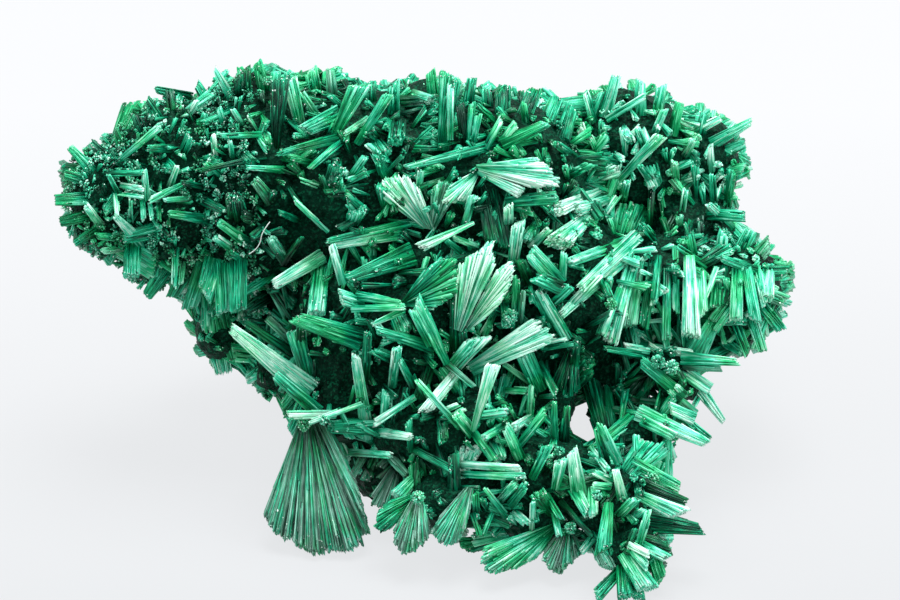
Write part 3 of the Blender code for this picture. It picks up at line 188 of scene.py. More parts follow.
deselect()
lump_objects = []
for number, (centre, full) in enumerate(LUMPS.values()):
    bpy.ops.mesh.primitive_ico_sphere_add(subdivisions=4, radius=1.0)
    lump = bpy.context.object
    lump.location = place(*centre)
    lump.rotation_euler = (math.pi / 2.0 - SHOW_TILT, 0.0, 0.0)
    lump.scale = [size * 0.97 * MM for size in sunk(full)]
    bpy.ops.object.transform_apply(location=True, rotation=True, scale=True)
    lump_objects.append(lump)
deselect()
for lump in lump_objects:
    lump.select_set(True)
bpy.context.view_layer.objects.active = lump_objects[0]
bpy.ops.object.join()
crust = bpy.context.object
crust.name = "drusy_crust"

welded = crust.modifiers.new("grown_together", "REMESH")
welded.mode = "VOXEL"
welded.voxel_size = 0.28 * MM
bpy.ops.object.modifier_apply(modifier=welded.name)
for title, scale, strength in (("hollows", 2.6, 1.1), ("grains", CRUST_GRAIN, 0.24)):
    pattern = bpy.data.textures.new(title, "VORONOI" if title == "grains" else "CLOUDS")
    pattern.noise_scale = scale * MM
    rough = crust.modifiers.new(title, "DISPLACE")
    rough.texture = pattern
    rough.texture_coords = "LOCAL"
    rough.strength = strength * MM
    rough.mid_level = 0.6
    bpy.ops.object.modifier_apply(modifier=rough.name)
bpy.ops.object.mode_set(mode="EDIT")
bpy.ops.mesh.select_all(action="SELECT")
bpy.ops.mesh.bisect(plane_co=(0.0, 0.0, 0.0), plane_no=(0.0, 0.0, 1.0), use_fill=True, clear_inner=True,
                    threshold=1e-6)
bpy.ops.object.mode_set(mode="OBJECT")

# Drusy malachite: grains too small to see one by one, so the eye gets a dark, faintly sparkling skin. Its
# near-black greens are painted shade, darker than the crust itself, standing in for the shade deep in the
# gaps.
crust_with_painted_shade = bpy.data.materials.new("drusy_crust_painted_shade")
crust_with_painted_shade.use_nodes = True
tree = crust_with_painted_shade.node_tree
shader = tree.nodes["Principled BSDF"]
where = node(tree, "ShaderNodeTexCoord")
patches = node(tree, "ShaderNodeTexNoise", [(0, where, 3)])
patches.inputs["Scale"].default_value = 1.0 / (1.4 * MM)
patches.inputs["Detail"].default_value = 5.0
shade = node(tree, "ShaderNodeValToRGB", [(0, patches, 0)])
shade.color_ramp.elements[0].position = 0.35
shade.color_ramp.elements[0].color = linear("#010d08")
shade.color_ramp.elements[1].position = 0.75
shade.color_ramp.elements[1].color = linear("#02261a")
grit = node(tree, "ShaderNodeTexVoronoi", [(0, where, 3)])
grit.inputs["Scale"].default_value = 1.0 / (0.1 * MM)
# About a third of the grains are clear enough to look green, in greens also kept dark as painted shade.
lottery = node(tree, "ShaderNodeSeparateColor", [(0, grit, 1)])
clear = node(tree, "ShaderNodeValToRGB", [(0, lottery, 0)])
clear.color_ramp.elements[0].position = 0.5
clear.color_ramp.elements[0].color = linear("#02281a")
clear.color_ramp.elements[1].position = 1.0
clear.color_ramp.elements[1].color = linear("#085238")
seen = node(tree, "ShaderNodeMapRange", [(0, lottery, 0)], in_1=0.5, in_2=0.9, in_3=0.0, in_4=0.55)
skin = node(tree, "ShaderNodeMix", [(0, seen, 0), (6, shade, 0), (7, clear, 0)], data_type="RGBA")
tree.links.new(skin.outputs[2], shader.inputs["Base Color"])
relief = node(tree, "ShaderNodeBump", [("Height", grit, 0)])
relief.inputs["Strength"].default_value = 0.6
relief.inputs["Distance"].default_value = 0.05 * MM
tree.links.new(relief.outputs[0], shader.inputs["Normal"])
shader.inputs["Roughness"].default_value = 0.5
shader.inputs["Specular IOR Level"].default_value = 0.12
shader.inputs["Specular Tint"].default_value = linear("#7fd8ab")
crust.data.materials.clear()
crust.data.materials.append(crust_with_painted_shade)
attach(crust, "root")
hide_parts("malachite")


# One needle, and the sheaves made of it
# Malachite grows here as fibres under a tenth of a millimetre thick, packed side by side into tapered
# sheaves. A needle is modelled once, four-sided with a chisel end, and every sheaf copies its mesh.
FIBRE = 0.07
CHISEL = 0.03
SQUARENESS = 0.75

deselect()
bpy.ops.mesh.primitive_cylinder_add(vertices=4, radius=0.5, depth=1.0, location=(0.0, 0.0, 0.5))
needle = bpy.context.object
needle.name = "needle"
bpy.ops.object.transform_apply(location=True, rotation=True, scale=True)
bpy.ops.object.mode_set(mode="EDIT")
bpy.ops.mesh.select_all(action="DESELECT")
bpy.ops.object.mode_set(mode="OBJECT")
for corner in needle.data.vertices:
    corner.select = corner.co.z > 0.5 and corner.co.x < 0.1
bpy.ops.object.mode_set(mode="EDIT")
bpy.ops.transform.translate(value=(0.1, 0.0, -CHISEL))
bpy.ops.mesh.select_all(action="SELECT")
bpy.ops.mesh.quads_convert_to_tris()
bpy.ops.object.mode_set(mode="OBJECT")
NEEDLE_POINTS = np.array([corner.co[:] for corner in needle.data.vertices])
NEEDLE_FACES = np.array([face.vertices[:] for face in needle.data.polygons])
bpy.data.objects.remove(needle)

# Tones are partly each sheaf's own and partly painted light and shade: pale sheaves carry a painted
# highlight where they catch the light on their broken ends, dark ones painted shade, and grey ones are
# dulled with painted shade.
TONES = {"w": 0.78, "p": 0.69, "g": 0.51, "m": 0.4, "d": 0.22, "y": 0.54, "s": 0.4}
SHADE_GREYING = {"y": 0.5, "s": 0.75}


def sheaf(root, tip, root_width, tip_width, facing, tone, rng, flatness=0.7, fibre=FIBRE):
    """Needles of one sheaf: starts, ends, widths at both, tones, dullness, sides, turns and grain.

    The needles under its skin are twice as thick, because only their ends show. Each has a face
    nearly along the sheaf's own face, so that the sheaf shines as one, and nearly half of the skin
    is splinters that run only part of the way.
    """
    run = np.array(tip) - np.array(root)
    length = np.linalg.norm(run)
    axis = run / length
    side = np.cross(axis, np.array(facing))
    if np.linalg.norm(side) < 0.2:
        side = np.cross(axis, np.array(UP))
    side /= np.linalg.norm(side)
    through = np.cross(side, axis)
    wide = max(root_width, tip_width)
    full = 0.9 * wide * wide * flatness / fibre ** 2
    skin = max(6, int(0.5 * full))
    heart = int(0.12 * full)
    count = skin + heart
    spread = np.sqrt(np.concatenate([rng.uniform(0.45, 1.0, skin), rng.uniform(0.0, 0.45, heart)]))
    stout = np.concatenate([np.ones(skin), np.full(heart, 2.0)])
    turn = np.arange(count) * 2.39996 + rng.uniform(0.0, 6.3)
    squared = spread / np.maximum(np.abs(np.cos(turn)), np.abs(np.sin(turn))) ** SQUARENESS
    sideways = squared * np.cos(turn)
    inward = squared * np.sin(turn)

    def across_section(centre, width):
        offset = side[None, :] * sideways[:, None] + through[None, :] * inward[:, None] * flatness
        return np.array(centre)[None, :] + offset * (0.43 * width * MM)

    starts = across_section(root, root_width)
    ends = across_section(tip, tip_width)
    ends += rng.normal(0.0, 0.006 * length, (count, 3))
    slant = rng.uniform(-0.5, 0.5) * tip_width * MM / length
    short = np.abs(rng.normal(0.0, 0.02, count)) + slant * sideways + abs(slant)
    runs = ends - starts
    splinter = (rng.random(count) < 0.45) & (stout < 1.5)
    late = np.where(splinter, rng.uniform(0.0, 0.6, count), 0.0)
    stunted = splinter & (rng.random(count) < 0.7)
    early = np.where(stunted, rng.uniform(0.0, 0.55, count) * (1.0 - late), 0.0)
    ends -= runs * (short + early)[:, None]
    starts += runs * late[:, None]
    starts += rng.normal(0.0, 0.12 * fibre * MM, (count, 3)) * splinter[:, None]
    packed = fibre * MM * 1.7 * stout
    root_fibre = packed * max(0.45, root_width / wide)
    tip_fibre = packed * max(0.45, tip_width / wide)
    tones = TONES[tone] + rng.normal(0.0, 0.05) + rng.normal(0.0, 0.07, count)
    dull = np.full(count, SHADE_GREYING.get(tone, 0.0))
    sides = np.tile(side, (count, 1))
    turns = math.pi / 4.0 + rng.normal(0.0, 0.3, count)
    grain = np.stack([sideways * 0.43 * wide, inward * 0.43 * wide * flatness], axis=1)
    grain += rng.uniform(0.0, 90.0, 2)[None, :]
    return starts, ends, root_fibre, tip_fibre, tones, dull, sides, turns, grain


def grow(name, sheaves, rng):
    """One piece of the needles of many sheaves, with tone, reach, dullness and grain on its points."""
    starts, ends, root_widths, tip_widths, tones, dull, sides, turns, grain = (
        np.concatenate([item[index] for item in sheaves]) for index in range(9))
    count = len(starts)
    runs = ends - starts
    lengths = np.linalg.norm(runs, axis=1)
    axes = runs / lengths[:, None]
    sides = sides - axes * np.sum(sides * axes, axis=1)[:, None]
    sides /= np.linalg.norm(sides, axis=1)[:, None]
    throughs = np.cross(axes, sides)
    along = NEEDLE_POINTS[:, 2]
    widths = root_widths[:, None] + (tip_widths - root_widths)[:, None] * along[None, :]
    cosine = np.cos(turns)[:, None]
    sine = np.sin(turns)[:, None]
    sidestep = (NEEDLE_POINTS[None, :, 0] * cosine - NEEDLE_POINTS[None, :, 1] * sine) * widths
    outstep = (NEEDLE_POINTS[None, :, 0] * sine + NEEDLE_POINTS[None, :, 1] * cosine) * widths
    points = starts[:, None, :] + runs[:, None, :] * along[None, :, None]
    points += sides[:, None, :] * sidestep[:, :, None] + throughs[:, None, :] * outstep[:, :, None]
    points = points.reshape(-1, 3)
    points[:, 2] = np.maximum(points[:, 2], 0.0)
    stride = len(NEEDLE_POINTS)
    faces = (NEEDLE_FACES[None, :, :] + (np.arange(count) * stride)[:, None, None]).reshape(-1, 3)
    mesh = bpy.data.meshes.new(name)
    mesh.vertices.add(len(points))
    mesh.vertices.foreach_set("co", points.ravel())
    mesh.loops.add(faces.size)
    mesh.loops.foreach_set("vertex_index", faces.ravel())
    mesh.polygons.add(len(faces))
    mesh.polygons.foreach_set("loop_start", np.arange(0, faces.size, 3))
    mesh.update(calc_edges=True)
    for title, values in (
        ("tone", np.repeat(tones, stride)),
        ("reach", np.tile(along, count)),
        ("dull", np.repeat(dull, stride)),
    ):
        kept = mesh.attributes.new(title, "FLOAT", "POINT")
        kept.data.foreach_set("value", values.astype(np.float32))
    fibre_grain = np.stack([
        grain[:, :1] + sidestep / MM,
        grain[:, 1:] + outstep / MM,
        0.1 * lengths[:, None] * along[None, :] / MM,
    ], axis=2)
    kept = mesh.attributes.new("grain_mm", "FLOAT_VECTOR", "POINT")
    kept.data.foreach_set("vector", fibre_grain.astype(np.float32).ravel())
    piece = bpy.data.objects.new(name, mesh)
    bpy.context.scene.collection.objects.link(piece)
    mesh.materials.append(silk)
    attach(piece, "root")
    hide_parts("malachite")
    return piece


# Silky malachite: fibrous copper carbonate, glassy along each needle, with a painted highlight that makes
# it pale where needles end and painted shade that darkens it toward their roots.
silk = bpy.data.materials.new("silky_fibrous_malachite")
silk.use_nodes = True
tree = silk.node_tree
shader = tree.nodes["Principled BSDF"]
tone_read = node(tree, "ShaderNodeAttribute", attribute_name="tone")
reach_read = node(tree, "ShaderNodeAttribute", attribute_name="reach")
dull_read = node(tree, "ShaderNodeAttribute", attribute_name="dull")
where = node(tree, "ShaderNodeTexCoord")
clouding = node(tree, "ShaderNodeTexNoise", [(0, where, 3)])
clouding.inputs["Scale"].default_value = 1.0 / (0.9 * MM)
clouding.inputs["Detail"].default_value = 4.0
# Striae finer than the needles run along them, over broader streaks. The striae's light and dark are
# partly the fibres' own grain and partly painted sheen on the fibres and painted shade in the grooves
# between them.
grain_read = node(tree, "ShaderNodeAttribute", attribute_name="grain_mm")
striae = node(tree, "ShaderNodeTexNoise", [(0, grain_read, 1)])
striae.inputs["Scale"].default_value = 10.0
striae.inputs["Detail"].default_value = 2.0
striae.inputs["Roughness"].default_value = 0.6
streaks = node(tree, "ShaderNodeTexNoise", [(0, grain_read, 1)])
streaks.inputs["Scale"].default_value = 3.0
streaks.inputs["Detail"].default_value = 1.0
# Painted highlight on the free ends, painted shade toward the roots.
painted_end_highlight = node(tree, "ShaderNodeMapRange", [(0, reach_read, 2)], in_1=0.8, in_2=1.0, in_3=0.0, in_4=0.1)
painted_root_shade = node(tree, "ShaderNodeMapRange", [(0, reach_read, 2)], in_1=0.0, in_2=0.5, in_3=-0.12, in_4=0.0)
cloud = node(tree, "ShaderNodeMapRange", [(0, clouding, 0)], in_1=0.3, in_2=0.7, in_3=-0.1, in_4=0.1)
stria = node(tree, "ShaderNodeMapRange", [(0, striae, 0)], in_1=0.32, in_2=0.68, in_3=-0.2, in_4=0.18)
streak = node(tree, "ShaderNodeMapRange", [(0, streaks, 0)], in_1=0.35, in_2=0.65, in_3=-0.09, in_4=0.09)
lit = node(tree, "ShaderNodeMath", [(0, tone_read, 2), (1, painted_end_highlight, 0)], operation="ADD")
root_shaded_tone = node(tree, "ShaderNodeMath", [(0, lit, 0), (1, painted_root_shade, 0)], operation="ADD")
clouded = node(tree, "ShaderNodeMath", [(0, root_shaded_tone, 0), (1, cloud, 0)], operation="ADD")
streaked = node(tree, "ShaderNodeMath", [(0, clouded, 0), (1, streak, 0)], operation="ADD")
final_tone = node(tree, "ShaderNodeMath", [(0, streaked, 0), (1, stria, 0)], operation="ADD")
green = node(tree, "ShaderNodeValToRGB", [(0, final_tone, 0)])
steps = ((0.0, "#00140d"), (0.18, "#003c2a"), (0.38, "#007551"), (0.54, "#12a379"),
         (0.7, "#5cc2a4"), (0.85, "#9dd6c0"), (1.0, "#c5e6d8"))
for position, code in steps[2:]:
    green.color_ramp.elements.new(position)
for stop, (position, code) in zip(green.color_ramp.elements, steps):
    stop.position = position
    stop.color = linear(code)
# In places it is a purer emerald.
emerald = node(tree, "ShaderNodeValToRGB", [(0, final_tone, 0)])
emerald_steps = ((0.0, "#001508"), (0.3, "#005c2a"), (0.55, "#0a9a52"), (0.8, "#5cc890"), (1.0, "#bce9cf"))
for position, code in emerald_steps[2:]:
    emerald.color_ramp.elements.new(position)
for stop, (position, code) in zip(emerald.color_ramp.elements, emerald_steps):
    stop.position = position
    stop.color = linear(code)
veins = node(tree, "ShaderNodeTexNoise", [(0, where, 3)])
veins.inputs["Scale"].default_value = 1.0 / (2.2 * MM)
veined = node(tree, "ShaderNodeMapRange", [(0, veins, 0)], in_1=0.47, in_2=0.6, in_3=0.0, in_4=0.7)
greens = node(tree, "ShaderNodeMix", [(0, veined, 0), (6, green, 0), (7, emerald, 0)], data_type="RGBA")
# Painted shade: needles with a dull share (the grey y and s tones, a little on every burr) are greyed
# toward this ramp, in patches along the grain.
shade_grey_ramp = node(tree, "ShaderNodeValToRGB", [(0, final_tone, 0)])
shade_grey_ramp.color_ramp.elements[0].color = linear("#07120f")
shade_grey_ramp.color_ramp.elements[1].color = linear("#8fbfad")
mixed = node(tree, "ShaderNodeMix", data_type="RGBA")
uneven = node(tree, "ShaderNodeTexNoise", [(0, grain_read, 1)])
uneven.inputs["Scale"].default_value = 4.0
uneven.inputs["Detail"].default_value = 3.0
patchy_shade = node(tree, "ShaderNodeMapRange", [(0, uneven, 0)], in_1=0.42, in_2=0.6, in_3=0.1, in_4=1.3)
shade_greying = node(tree, "ShaderNodeMath", [(0, dull_read, 2), (1, patchy_shade, 0)], operation="MULTIPLY")
tree.links.new(shade_greying.outputs[0], mixed.inputs[0])
tree.links.new(greens.outputs[2], mixed.inputs[6])
tree.links.new(shade_grey_ramp.outputs[0], mixed.inputs[7])
# Specks of dark grime cling to the ends.
speckle = node(tree, "ShaderNodeTexNoise", [(0, where, 3)])
speckle.inputs["Scale"].default_value = 1.0 / (0.22 * MM)
speckle.inputs["Detail"].default_value = 3.0
near_end = node(tree, "ShaderNodeMapRange", [(0, reach_read, 2)], in_1=0.6, in_2=1.0, in_3=-0.25, in_4=0.0)
clinging = node(tree, "ShaderNodeMath", [(0, speckle, 0), (1, near_end, 0)], operation="ADD")
grime = node(tree, "ShaderNodeMapRange", [(0, clinging, 0)], in_1=0.58, in_2=0.64, in_3=0.0, in_4=0.8)
soiled = node(tree, "ShaderNodeMix", [(0, grime, 0), (6, mixed, 2)], data_type="RGBA")
soiled.inputs[7].default_value = linear("#08140f")
# Painted glints: small cells near the ends, around the grime, are painted near-white as highlights.
painted_glint_cells = node(tree, "ShaderNodeTexVoronoi", [(0, where, 3)])
painted_glint_cells.inputs["Scale"].default_value = 1.0 / (0.06 * MM)
lottery = node(tree, "ShaderNodeSeparateColor", [(0, painted_glint_cells, 1)])
drawn = node(tree, "ShaderNodeMath", [(0, lottery, 0)], operation="GREATER_THAN", in_1=0.94)
gathered = node(tree, "ShaderNodeMapRange", [(0, clinging, 0)], in_1=0.48, in_2=0.56, in_3=0.0, in_4=0.85)
glinting = node(tree, "ShaderNodeMath", [(0, drawn, 0), (1, gathered, 0)], operation="MULTIPLY")
sparkled = node(tree, "ShaderNodeMix", [(0, glinting, 0), (6, soiled, 2)], data_type="RGBA")
sparkled.inputs[7].default_value = linear("#e6f7f0")
tree.links.new(sparkled.outputs[2], shader.inputs["Base Color"])
fluted = node(tree, "ShaderNodeBump", [("Height", striae, 0)])
fluted.inputs["Strength"].default_value = 0.5
fluted.inputs["Distance"].default_value = 0.03 * MM
tree.links.new(fluted.outputs[0], shader.inputs["Normal"])
shader.inputs["Roughness"].default_value = 0.36
shader.inputs["IOR"].default_value = 1.55
shader.inputs["Specular Tint"].default_value = linear("#9fe8cc")
shader.inputs["Metallic"].default_value = 0.0

ROOT_DEPTH = 1.5


def show_sheaves(entries, rng):
    """Sheaves of the show side: root and free end across and up, widths, rise, lift and tone."""
    made = []
    for start, end, root_width, tip_width, rise, lift, tone in entries:
        depth = front(*start) - ROOT_DEPTH + lift
        end_depth = max(depth + rise, front(*end) + 0.25)
        if rise < 0.0:
            end_depth = depth + rise
        root = place(start[0], start[1], depth)
        tip = place(end[0], end[1], end_depth)
        made.append(sheaf(root, tip, root_width, tip_width, TOWARD, tone, rng))
    return made


# Sheaves of the left arm
# The arm that reaches left ends in short bright sheaves over a dark drusy end, with a comb of blunt
# ones along its top. Each is its root, its free end, two widths, rise, lift and tone.
LEFT_ARM = [
    ((-16.75, 21.85), (-14.4, 23.8), 0.3, 0.5, 0.5, 0.5, "p"),
    ((-13.15, 24.2), (-12.65, 25.05), 0.35, 0.3, 0.5, 0.3, "p"),
    ((-13.1, 25.2), (-14.9, 25.6), 0.6, 0.35, 0.2, 0.0, "g"),
    ((-10.95, 25.1), (-11.9, 26.75), 0.55, 0.3, 0.3, 0.1, "p"),
    ((-9.4, 23.3), (-11.6, 23.2), 0.3, 0.25, 0.5, 0.6, "p"),
    ((-11.75, 22.2), (-11.9, 23.4), 0.35, 0.3, 0.5, 0.4, "p"),
    ((-10.9, 22.1), (-11.05, 23.0), 0.3, 0.25, 0.4, 0.4, "p"),
    ((-17.5, 18.75), (-18.25, 19.75), 0.5, 0.4, 0.5, 0.1, "p"),
    ((-16.5, 20.1), (-17.15, 21.35), 0.3, 0.25, 0.3, 0.5, "g"),
    ((-16.75, 20.3), (-16.6, 19.1), 0.25, 0.25, 0.2, 0.7, "p"),
    ((-17.3, 21.3), (-15.3, 21.35), 0.3, 0.3, 0.3, 0.6, "m"),
    ((-15.15, 20.0), (-15.3, 21.6), 0.35, 0.3, 0.3, 0.9, "p"),
    ((-16.5, 20.75), (-15.3, 20.55), 0.28, 0.28, 0.2, 0.8, "p"),
    ((-16.6, 20.3), (-15.3, 20.15), 0.2, 0.2, 0.2, 0.9, "p"),
    ((-15.3, 17.7), (-16.8, 19.25), 0.8, 0.3, 0.7, 0.3, "p"),
    ((-12.9, 21.0), (-15.2, 19.9), 0.25, 0.45, 0.8, 0.5, "p"),
    ((-13.0, 20.1), (-14.3, 20.0), 0.3, 0.25, 0.4, 0.4, "y"),
    ((-16.0, 18.9), (-16.0, 20.0), 0.25, 0.22, 0.3, 0.6, "p"),
    ((-15.4, 20.0), (-15.3, 18.9), 0.28, 0.25, 0.4, 0.6, "p"),
    ((-15.05, 19.9), (-14.9, 19.0), 0.25, 0.22, 0.4, 0.5, "p"),
    ((-14.6, 19.8), (-14.5, 18.9), 0.25, 0.22, 0.4, 0.5, "m"),
    ((-14.0, 20.7), (-13.6, 21.7), 0.35, 0.3, 0.4, 0.3, "p"),
    ((-12.0, 19.0), (-14.1, 19.3), 0.6, 0.35, 0.7, 0.4, "g"),
    ((-16.3, 18.1), (-17.8, 18.2), 0.5, 0.35, 0.3, 0.0, "g"),
    ((-16.0, 17.7), (-17.5, 17.4), 0.5, 0.35, 0.1, 0.0, "y"),
    ((-15.9, 18.2), (-15.95, 16.1), 1.0, 0.95, 1.0, 0.0, "m"),
    ((-15.0, 17.2), (-13.8, 16.4), 0.35, 0.25, 0.5, 0.2, "m"),
    ((-13.75, 17.6), (-13.85, 15.55), 0.35, 0.28, 0.8, 0.3, "p"),
    ((-13.4, 17.0), (-13.5, 15.75), 0.3, 0.25, 0.6, 0.2, "p"),
    ((-14.0, 17.0), (-15.3, 15.1), 1.0, 0.6, -0.6, -0.4, "m"),
    ((-13.2, 16.6), (-14.1, 15.0), 0.9, 0.6, -0.8, -0.4, "m"),
    ((-17.7, 21.2), (-19.1, 22.7), 0.7, 0.4, -0.2, 0.0, "m"),
    ((-17.0, 21.9), (-18.1, 23.0), 0.6, 0.4, 0.0, 0.0, "d"),
    ((-16.3, 22.3), (-16.9, 23.6), 0.6, 0.4, 0.2, 0.0, "m"),
    ((-15.3, 23.2), (-15.9, 24.5), 0.6, 0.45, 0.2, 0.0, "d"),
    ((-14.5, 23.9), (-15.3, 25.2), 0.6, 0.4, 0.0, 0.0, "m"),
    ((-13.9, 24.2), (-14.1, 25.6), 0.6, 0.45, -0.3, 0.0, "d"),
    ((-12.1, 24.8), (-12.8, 26.0), 0.6, 0.4, 0.2, 0.0, "m"),
    ((-10.4, 25.3), (-10.4, 26.8), 1.0, 0.9, 0.6, 0.2, "d"),
    ((-9.3, 25.4), (-9.7, 27.1), 0.8, 0.5, 0.2, 0.0, "m"),
    ((-8.9, 25.2), (-8.7, 26.6), 0.6, 0.5, 0.0, 0.0, "m"),
    ((-17.9, 20.9), (-19.4, 21.3), 0.7, 0.5, 0.0, 0.0, "g"),
    ((-17.8, 20.1), (-19.85, 20.0), 0.8, 0.55, 0.2, 0.0, "g"),
    ((-17.9, 19.3), (-19.6, 18.9), 0.7, 0.5, 0.0, 0.0, "m"),
    ((-17.5, 18.7), (-18.9, 17.8), 0.6, 0.4, 0.0, 0.0, "m"),
    ((-13.4, 22.3), (-13.0, 23.4), 0.5, 0.4, 0.6, 0.2, "m"),
    ((-12.4, 23.4), (-12.3, 24.4), 0.4, 0.3, 0.5, 0.2, "g"),
    ((-11.3, 23.7), (-11.6, 24.7), 0.4, 0.3, 0.5, 0.2, "g"),
    ((-10.4, 23.8), (-10.9, 24.6), 0.35, 0.25, 0.4, 0.3, "p"),
    ((-13.9, 22.6), (-15.2, 22.6), 0.5, 0.35, 0.4, 0.2, "m"),
    ((-12.2, 20.6), (-13.4, 20.9), 0.4, 0.3, 0.4, 0.2, "d"),
    ((-11.3, 21.2), (-12.3, 21.9), 0.4, 0.3, 0.5, 0.2, "m"),
]
rng = np.random.default_rng(20)
grow("left_arm_sheaves", show_sheaves(LEFT_ARM, rng), rng)


# Tongue under the left arm
# A flat tongue of dull, blurred sheaves hangs down behind the arm, in its shadow.
# They are broad and close together, so the tongue shows as one hanging mass.
TONGUE = [
    ((-12.5, 16.4), (-11.45, 11.25), 1.9, 0.9, -2.2, -0.9, "g"),
    ((-11.9, 15.6), (-10.9, 11.9), 1.3, 0.6, -1.8, -0.4, "m"),
    ((-12.9, 15.9), (-12.3, 12.3), 1.1, 0.6, -2.0, -0.4, "g"),
    ((-12.3, 17.0), (-13.2, 14.4), 1.0, 0.8, -1.6, 1.0, "g"),
    ((-11.2, 16.8), (-11.1, 14.2), 1.6, 1.4, 0.4, 0.9, "g"),
    ((-11.8, 17.0), (-12.4, 14.9), 1.2, 0.9, 0.8, 1.2, "g"),
    ((-10.6, 17.0), (-10.6, 14.3), 1.0, 0.9, 0.6, 1.0, "g"),
]
rng = np.random.default_rng(22)
grow("tongue_sheaves", show_sheaves(TONGUE, rng), rng)


# Crown along the top
# Upright sheaves stand along the top edge, saturated green where they are seen from the side.
# Long flat ones lie across them.
CROWN = [
    ((-8.75, 22.2), (-8.5, 26.3), 0.4, 1.1, 0.4, 0.1, "d"),
    ((-7.5, 23.7), (-8.05, 26.2), 0.6, 0.85, 0.4, 0.5, "p"),
    ((-8.0, 25.3), (-8.2, 26.5), 0.4, 0.3, 0.2, 0.3, "m"),
    ((-6.7, 24.3), (-7.5, 25.5), 0.35, 0.3, 0.4, 0.5, "p"),
    ((-5.6, 24.3), (-7.45, 23.4), 1.1, 0.7, 0.7, 0.4, "g"),
    ((-5.8, 23.2), (-8.8, 22.2), 0.4, 0.2, 0.5, 0.6, "m"),
    ((-9.2, 22.2), (-12.8, 21.4), 0.35, 0.25, 0.6, 0.5, "d"),
    ((-8.3, 21.5), (-10.2, 21.6), 0.4, 0.25, 0.5, 0.4, "p"),
    ((-5.9, 23.0), (-4.4, 26.0), 0.4, 1.2, 0.8, 0.4, "g"),
    ((-5.3, 23.1), (-7.1, 21.5), 0.45, 0.3, 0.7, 0.5, "g"),
    ((-4.65, 22.8), (-3.0, 25.4), 0.4, 0.55, 0.8, 0.5, "g"),
    ((-4.1, 24.1), (-5.3, 23.3), 0.35, 0.28, 0.4, 0.7, "p"),
    ((-6.8, 25.4), (-7.05, 26.8), 0.8, 0.7, 0.3, 0.1, "g"),
    ((-5.9, 25.3), (-6.05, 26.7), 0.6, 0.45, 0.2, 0.1, "y"),
    ((-5.3, 24.6), (-6.1, 25.3), 0.35, 0.28, 0.4, 0.5, "g"),
    ((-2.6, 23.8), (-2.7, 22.8), 1.0, 0.95, 1.6, 0.1, "d"),
    ((-2.9, 24.3), (-2.8, 26.2), 0.8, 0.6, 0.2, 0.1, "g"),
    ((-2.1, 25.4), (-0.85, 25.0), 0.6, 0.55, 0.6, 0.3, "y"),
    ((-0.35, 22.5), (0.1, 26.5), 0.6, 1.3, 0.6, 0.4, "g"),
    ((0.0, 23.0), (0.0, 26.0), 0.35, 0.4, 0.4, 1.1, "p"),
    ((-0.8, 25.0), (-1.0, 26.7), 0.7, 0.5, 0.1, 0.2, "g"),
    ((0.9, 24.7), (1.1, 26.2), 0.6, 0.5, 0.2, 0.1, "m"),
    ((0.8, 22.7), (0.45, 24.9), 0.5, 0.5, 0.5, 0.3, "d"),
    ((0.95, 22.8), (1.1, 25.0), 0.35, 0.4, 0.5, 0.5, "g"),
    ((1.15, 22.9), (1.45, 24.4), 0.28, 0.4, 0.5, 0.8, "g"),
    ((1.8, 22.6), (2.65, 24.2), 0.4, 0.35, 0.5, 0.4, "p"),
    ((2.3, 23.9), (1.3, 24.8), 0.35, 0.28, 0.4, 0.4, "g"),
    ((4.3, 23.3), (-2.35, 21.6), 0.95, 0.15, 0.6, 0.9, "g"),
    ((2.6, 22.8), (5.0, 23.9), 0.75, 0.45, 0.3, 0.8, "g"),
    ((2.6, 22.9), (3.35, 23.9), 0.5, 0.45, 0.4, 0.8, "p"),
    ((3.8, 23.8), (3.7, 25.0), 0.4, 0.3, 0.3, 0.1, "g"),
    ((2.6, 24.2), (2.7, 25.8), 0.9, 0.8, -0.8, -0.3, "m"),
    ((3.6, 23.9), (4.3, 25.7), 0.9, 0.8, -1.2, -0.6, "m"),
    ((4.7, 23.6), (5.4, 25.2), 0.9, 0.7, -1.8, -0.8, "m"),
    ((5.6, 23.0), (6.2, 24.9), 1.0, 0.7, -2.0, -0.6, "m"),
    ((-4.0, 24.9), (-4.0, 25.9), 0.7, 0.5, 0.0, 0.1, "m"),
    ((1.9, 24.6), (1.8, 25.8), 0.6, 0.5, 0.0, 0.0, "m"),
    ((-5.6, 23.1), (-8.5, 22.35), 0.55, 0.3, 0.4, 0.7, "g"),
    ((0.2, 24.9), (0.6, 26.2), 0.5, 0.7, 0.3, 0.5, "y"),
]
rng = np.random.default_rng(24)
grow("crown_sheaves", show_sheaves(CROWN, rng), rng)


